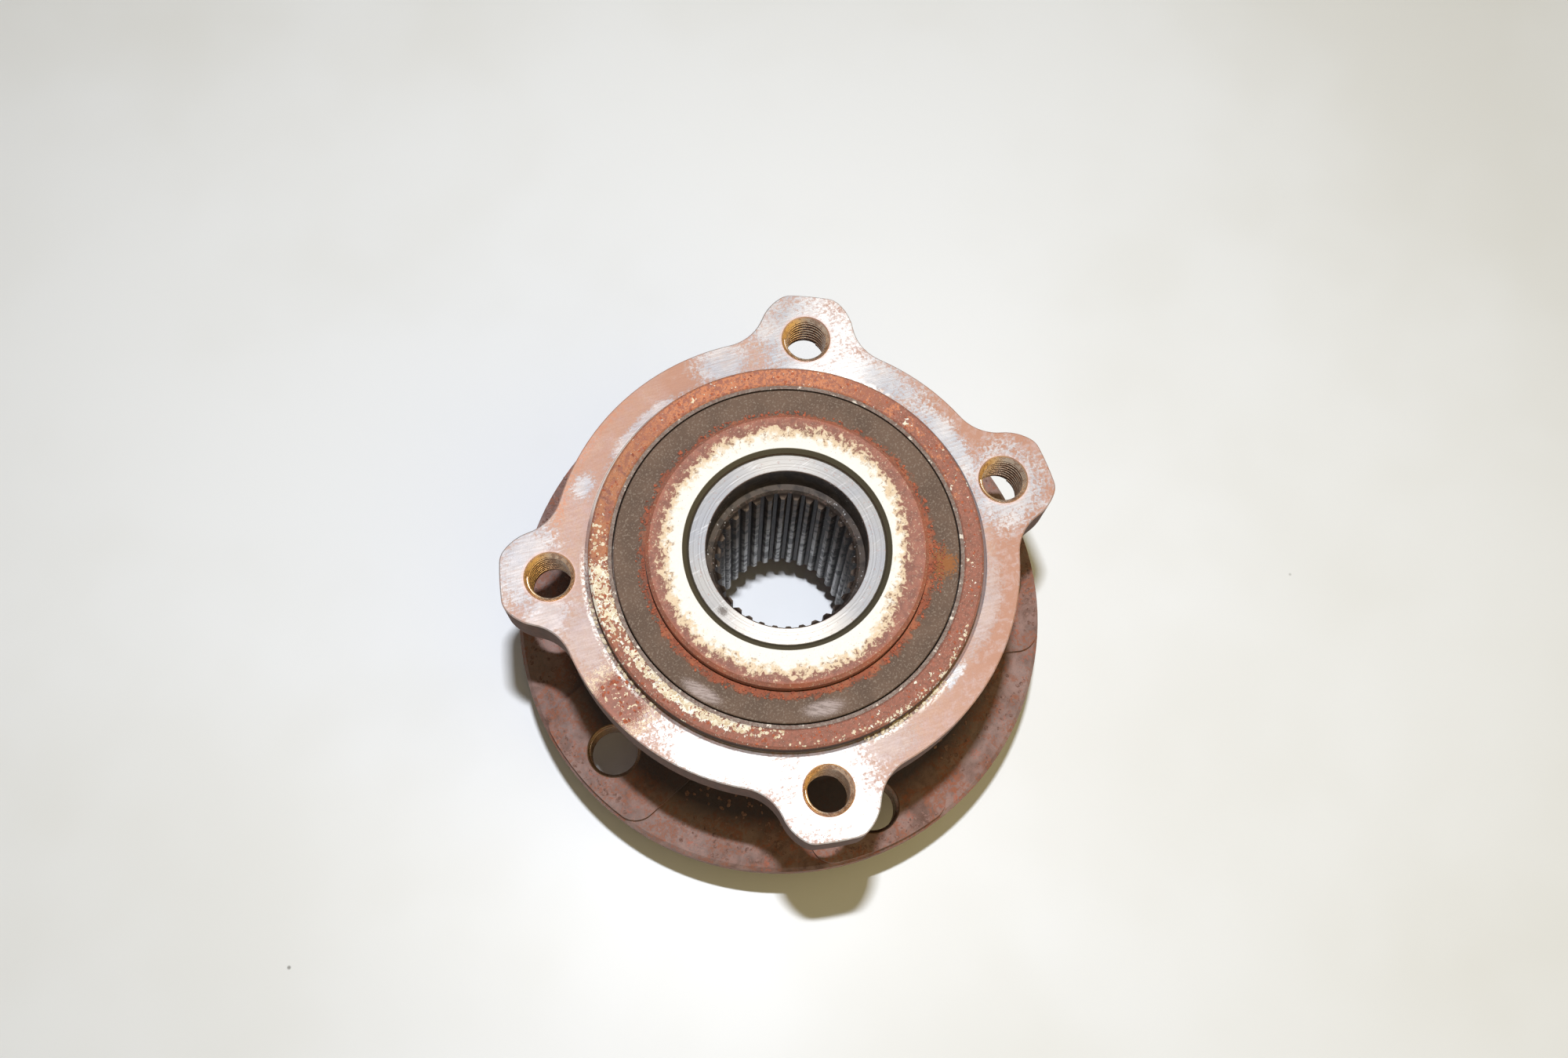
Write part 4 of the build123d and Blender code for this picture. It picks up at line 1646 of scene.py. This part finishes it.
@dataclass(frozen=True)
class Assembly:
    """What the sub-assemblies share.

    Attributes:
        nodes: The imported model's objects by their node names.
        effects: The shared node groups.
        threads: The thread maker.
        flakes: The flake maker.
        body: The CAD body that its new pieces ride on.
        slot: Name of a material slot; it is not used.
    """

    nodes: Mapping[str, bpy.types.Object]
    effects: Effects
    threads: ThreadRecipe
    flakes: FlakeRecipe
    body: ClassVar[str]
    slot: ClassVar[str]

    def dress(self, finish: Finish, *nodes: str) -> None:
        """Give CAD nodes their finish.

        Args:
            finish: The finish.
            *nodes: The nodes' names.
        """
        material = finish.material(self.effects)
        for node in nodes:
            piece = self.nodes[node]
            if piece.material_slots:
                for slot in piece.material_slots:
                    slot.material = material
            else:
                piece.data.materials.append(material)
            LOG.info("%s wears %s", node, material.name)

    def add(self, name: str, meshes: Iterable[bpy.types.Mesh], material: bpy.types.Material) -> None:
        """Join meshes into one piece that rides on the sub-assembly's body.

        Args:
            name: The piece's name.
            meshes: What goes into it.
            material: Its one material.
        """
        whole = bmesh.new()
        for mesh in meshes:
            whole.from_mesh(mesh)
        joined = bpy.data.meshes.new(name)
        whole.to_mesh(joined)
        whole.free()
        joined.materials.clear()
        joined.materials.append(material)
        piece = bpy.data.objects.new(name, joined)
        show(piece)
        body, slot = self.body, self.slot
        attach(piece, body)
        LOG.info("%s rides on %s with %d faces", name, body, len(joined.polygons))

    def cut(self, name: str, finish: ThreadFinish, thread: Thread, centres: Iterable[Point]) -> None:
        """Cut a thread in several holes.

        Args:
            name: The piece's name.
            finish: The thread's finish.
            thread: Its sizes.
            centres: The holes' centres, mm.
        """
        material = finish.material(self.effects)
        self.add(name, thread.meshes(self.threads, centres, material), material)

    def strew(self, place: str, drifts: Mapping[Crust, Iterable[Drift]]) -> None:
        """Strew scale of several kinds, one piece for each kind.

        Args:
            place: What the scale lies on, the first word of each piece's name.
            drifts: Where each kind lies.
        """
        for crust, spread in drifts.items():
            material = ScaleFinish(crust).material(self.effects)
            meshes = [drift.mesh(self.flakes, material) for drift in spread]
            self.add(f"{place}_scale_{crust.name.lower()}", meshes, material)


@dataclass(frozen=True)
class OuterRingAssembly(Assembly):
    """The outer ring with its four threaded ears.

    Attributes:
        circle: Radius of the circle that the ear holes are on, mm.
        angles: Where they are on it, degrees.
        thread: Their thread.
        cream: Where pale scale lies.
        orange: Where rust scale lies.
    """

    body: ClassVar[str] = "bearing_outer"
    slot: ClassVar[str] = "outer_ring_steel"
    circle: float = 58.0
    angles: tuple[float, ...] = (32.2, 132.9, 227.1, 327.8)
    thread: Thread = Thread(pitch=1.5, wall_radius=6.0, low_face=45.3, high_face=59.0, chamfer=0.3)
    cream: tuple[Drift, ...] = (
        Drift(150, 43.7, 47.6, 118, 166, 62.9, 0.65, 0.09, 3),
        Drift(150, 43.7, 45.6, 165, 216, 62.9, 0.7, 0.1, 4),
        Drift(60, 46.6, 47.6, 215, 285, 62.9, 0.5, 0.08, 5),
        Drift(80, 48.5, 49.6, 140, 178, 58.7, 0.7, 0.35, 6),
        Drift(60, 48.4, 49.6, 238, 268, 58.7, 0.8, 0.4, 7),
        Drift(60, 48.5, 49.4, 6, 32, 58.8, 0.5, 0.3, 8),
    )
    orange: tuple[Drift, ...] = (
        Drift(240, 43.7, 47.6, 0, 360, 62.9, 0.5, 0.07, 11),
        Drift(30, 49.5, 56.4, 164, 175, 59.0, 0.7, 0.06, 12),
    )

    def build(self) -> None:
        """Dress the ring, cut its threads and strew its scale."""
        self.dress(OuterRingFinish(), "outer_ring")
        centres = on_circle(self.circle, self.angles)
        self.cut("ear_threads", ThreadFinish("ear_thread_steel"), self.thread, centres)
        self.strew("pilot", {Crust.CREAM: self.cream, Crust.ORANGE: self.orange})


@dataclass(frozen=True)
class HubAssembly(Assembly):
    """The hub, its pressed-on inner ring, and what turns with them.

    Attributes:
        circle: Radius of the circle that the wheel holes are on, mm.
        phase: Angle of the first one, degrees.
        count: Number of them.
        thread: Their thread.
        thread_finish: Its finish.
        orange: Where rust scale lies.
        flange_scale: Level, flake size and thickness of the scale between the bolt pads, mm.
        pad_scale: The same for the scale on the pads.
    """

    body: ClassVar[str] = "hub"
    slot: ClassVar[str] = "hub_steel"
    circle: float = 60.0
    phase: float = 25.4
    count: int = 5
    thread: Thread = Thread(pitch=1.25, wall_radius=7.0, low_face=0.0, high_face=9.2, chamfer=0.25)
    # The wheel threads get a darker yellow, painted as a reflection of the warm lamp.
    thread_finish: ThreadFinish = ThreadFinish(
        "wheel_thread_steel", warm_reflection=paint(124, 94, 56), steel=paint(106, 90, 76)
    )
    orange: tuple[Drift, ...] = (
        Drift(420, 34.6, 36.6, 0, 360, 63.15, 0.5, 0.12, 21),
        Drift(90, 36.0, 38.5, 292, 312, 63.15, 0.35, 0.06, 22),
    )
    flange_scale: tuple[float, float, float] = (7.6, 0.9, 0.14)
    pad_scale: tuple[float, float, float] = (9.2, 0.8, 0.12)

    def angles(self) -> list[float]:
        """The wheel holes' angles, degrees."""
        return [self.phase + 360 / self.count * place for place in range(self.count)]

    def mauve(self) -> list[Drift]:
        """Scale between the bolt pads, and then scale on the pads.

        Returns:
            Where it lies.
        """
        turns = list(enumerate(self.angles()))
        flange, pads = self.flange_scale, self.pad_scale
        return [
            Drift(90, 53.0, 70.4, turn + 22, turn + 50, *flange, 23 + place) for place, turn in turns
        ] + [
            Drift(60, 67.6, 70.6, turn - 12, turn + 12, *pads, 33 + place) for place, turn in turns
        ]

    def build(self) -> None:
        """Dress the hub and its rings, cut the wheel threads and strew the scale."""
        self.dress(HubFinish(), "wheel_hub")
        self.dress(InnerRingFinish(), "inner_ring")
        self.dress(EncoderFinish(), "encoder_ring")
        centres = on_circle(self.circle, self.angles())
        self.cut("wheel_bolt_threads", self.thread_finish, self.thread, centres)
        self.strew("hub", {Crust.ORANGE: self.orange, Crust.MAUVE: self.mauve()})


class SealAssembly(Assembly):
    """Sheet cases, rubber lips and the flinger of both seals."""

    def build(self) -> None:
        """Dress the seals."""
        self.dress(SheetFinish(), "inboard_seal_case", "outboard_seal_case", "inboard_flinger")
        self.dress(RubberFinish(), "inboard_seal_lips", "outboard_seal_lips")


class Row(Enum):
    """The two rows of balls."""

    INBOARD = "inboard"
    OUTBOARD = "outboard"


class RollingAssembly(Assembly):
    """Balls and cages."""

    def build(self) -> None:
        """Dress the cages and the balls of both rows."""
        balls = [node for row in Row for node in sorted(self.nodes) if node.startswith(f"{row.value}_ball_")]
        self.dress(CageFinish(), *(f"{row.value}_cage" for row in Row))
        self.dress(BallFinish(), *balls)


@dataclass(frozen=True)
class Lamp:
    """A rectangular lamp that looks at a point.

    Attributes:
        name: Name of the lamp.
        place: Where it hangs, mm.
        size: Its long and short sides, mm.
        bearing: Direction of its long side, degrees from +X.
        power: Watts.
        colour: Linear colour.
        target: The point it looks at, mm.
    """

    name: str
    place: tuple[float, float, float]
    size: Point
    bearing: float
    power: float
    colour: tuple[float, float, float]
    target: tuple[float, float, float] = (0.0, 0.0, 30.0)

    def build(self) -> None:
        """Hang the lamp."""
        light = bpy.data.lights.new(self.name, "AREA")
        light.shape = "RECTANGLE"
        light.size, light.size_y = (side * MM for side in self.size)
        light.energy = self.power
        light.color = self.colour
        lamp = bpy.data.objects.new(self.name, light)
        show(lamp)
        turn = math.radians(self.bearing)
        place = Vector(self.place) * MM
        back = (place - Vector(self.target) * MM).normalized()
        rise = back.cross(Vector((math.cos(turn), math.sin(turn), 0.0))).normalized()
        axes = Matrix((rise.cross(back), rise, back)).transposed().to_4x4()
        lamp.matrix_world = Matrix.Translation(place) @ axes


@dataclass(frozen=True)
class Studio:
    """Pale floor, two lamps, a dim sky and the camera.

    Attributes:
        heading: How far the camera's own frame is turned about the spin axis, degrees.
        tilt: How far the view leans from the spin axis, degrees.
        roll: How far the camera is turned about its view, degrees.
        distance: Camera to the plane through the origin, mm.
        shift: Where the origin lies from the view's middle, mm to the right and upwards.
        lens: Focal length, and the width of the sensor with it, mm.
        floor_level: Height of the floor, mm.
        floor_reach: Half the floor's side, mm.
        floor: Its colour.
        floor_roughness: Its roughness.
        smudge: The colour of its faint smudges.
        mote: The colour of the few dust motes on it.
        sky: The colour of the sky.
        sky_light: How strongly the sky lights matt surfaces.
        sky_seen: How bright the sky is where it is seen or reflected.
        lamps: The lamps.
    """

    heading: float = 58.954
    tilt: float = 17.028
    roll: float = 6.408
    distance: float = 441.165
    shift: Point = (-1.3376, -23.776)
    lens: float = 36.0
    floor_level: float = -17.5
    floor_reach: float = 2500.0
    floor: Colour = paint(241, 242, 242)
    floor_roughness: float = 0.42
    smudge: Colour = paint(234, 234, 231)
    mote: Colour = paint(150, 148, 144)
    sky: Colour = (1.0, 0.975, 0.93, 1.0)
    sky_light: float = 0.06
    sky_seen: float = 0.9
    lamps: tuple[Lamp, ...] = (
        Lamp("flash", (12.0, 24.0, 600.0), (30.0, 10.0), -53.0, 3.55, (0.82, 0.86, 0.95)),
        Lamp("room", (140.0, -900.0, 1300.0), (1800.0, 1800.0), 0.0, 8.8, (1.0, 0.80, 0.30)),
    )

    def build(self) -> None:
        """Set up everything that isn't the object."""
        bpy.context.scene.view_settings.view_transform = "Standard"
        self._world()
        self._floor()
        self._camera()
        for lamp in self.lamps:
            lamp.build()

    def _world(self) -> None:
        """Dim light for matt surfaces, pale for what the camera and reflections see."""
        world = bpy.data.worlds.new("studio")
        world.use_nodes = True
        bpy.context.scene.world = world
        graph = Graph(world.node_tree)
        graph.tree.nodes.clear()
        path = graph.outputs(graph.node("ShaderNodeLightPath"))
        seen = graph.highest(path["Is Camera Ray"], path["Is Glossy Ray"], path["Is Transmission Ray"])
        strength = graph.levels(self.sky_light, (seen, self.sky_seen))
        light = graph.wire("ShaderNodeBackground", {"Color": self.sky, "Strength": strength})
        graph.node("ShaderNodeOutputWorld", {"Surface": light})

    def _floor(self) -> None:
        """Lay a wide pale board with faint smudges and a few motes."""
        reach, level = self.floor_reach * MM, self.floor_level * MM
        mesh = bpy.data.meshes.new("floor")
        corners = [(x * reach, y * reach, level) for x, y in ((-1, -1), (1, -1), (1, 1), (-1, 1))]
        mesh.from_pydata(corners, [], [(0, 1, 2, 3)])
        board = bpy.data.objects.new("floor", mesh)
        show(board)
        material = bpy.data.materials.new("floor_board")
        material.use_nodes = True
        graph = Graph(material.node_tree)
        shader = graph.tree.nodes["Principled BSDF"]
        here = graph.wire("ShaderNodeTexCoord", output="Object")
        cloud = graph.noise(here, 5.0, 4.0, 0.6)
        cells = graph.outputs(graph.node("ShaderNodeTexVoronoi", {"Vector": here, "Scale": 26.0}))
        picked = graph.wire("ShaderNodeSeparateColor", {"Color": cells["Color"]}).step(0.76, 0.77)
        motes = cells["Distance"].step(0.022, 0.012) * picked
        colour = graph.layers(self.floor, (cloud.step(0.42, 0.68), self.smudge), (motes, self.mote))
        graph.feed(shader.inputs["Base Color"], colour)
        graph.feed(shader.inputs["Roughness"], self.floor_roughness)
        mesh.materials.append(material)

    def _camera(self) -> None:
        """Place the camera from its tilt, roll and heading."""
        tilt, roll = math.radians(self.tilt), math.radians(self.roll)
        side = Vector((1.0, 0.0, 0.0))
        rise = Vector((0.0, math.cos(tilt), math.sin(tilt)))
        view = Vector((0.0, math.sin(tilt), -math.cos(tilt)))
        right = side * math.cos(roll) + rise * math.sin(roll)
        up = rise * math.cos(roll) - side * math.sin(roll)
        place = -(right * self.shift[0] + up * self.shift[1] + view * self.distance) * MM
        axes = Matrix((right, up, -view)).transposed().to_4x4()
        turn = Matrix.Rotation(math.radians(-self.heading), 4, "Z")
        lens = bpy.data.cameras.new("camera")
        lens.lens = lens.sensor_width = self.lens
        lens.clip_start = 0.01
        lens.clip_end = 20.0
        camera = bpy.data.objects.new("camera", lens)
        show(camera)
        camera.matrix_world = turn @ Matrix.Translation(place) @ axes
        bpy.context.scene.camera = camera


def main() -> None:
    """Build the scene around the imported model."""
    logging.basicConfig(level=logging.INFO, format="%(name)s: %(message)s")
    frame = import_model()
    shared = (frame["nodes"], Effects(), ThreadRecipe(), FlakeRecipe())
    Studio().build()
    for assembly in (OuterRingAssembly, HubAssembly, SealAssembly, RollingAssembly):
        assembly(*shared).build()


if __name__ == "__main__":
    main()
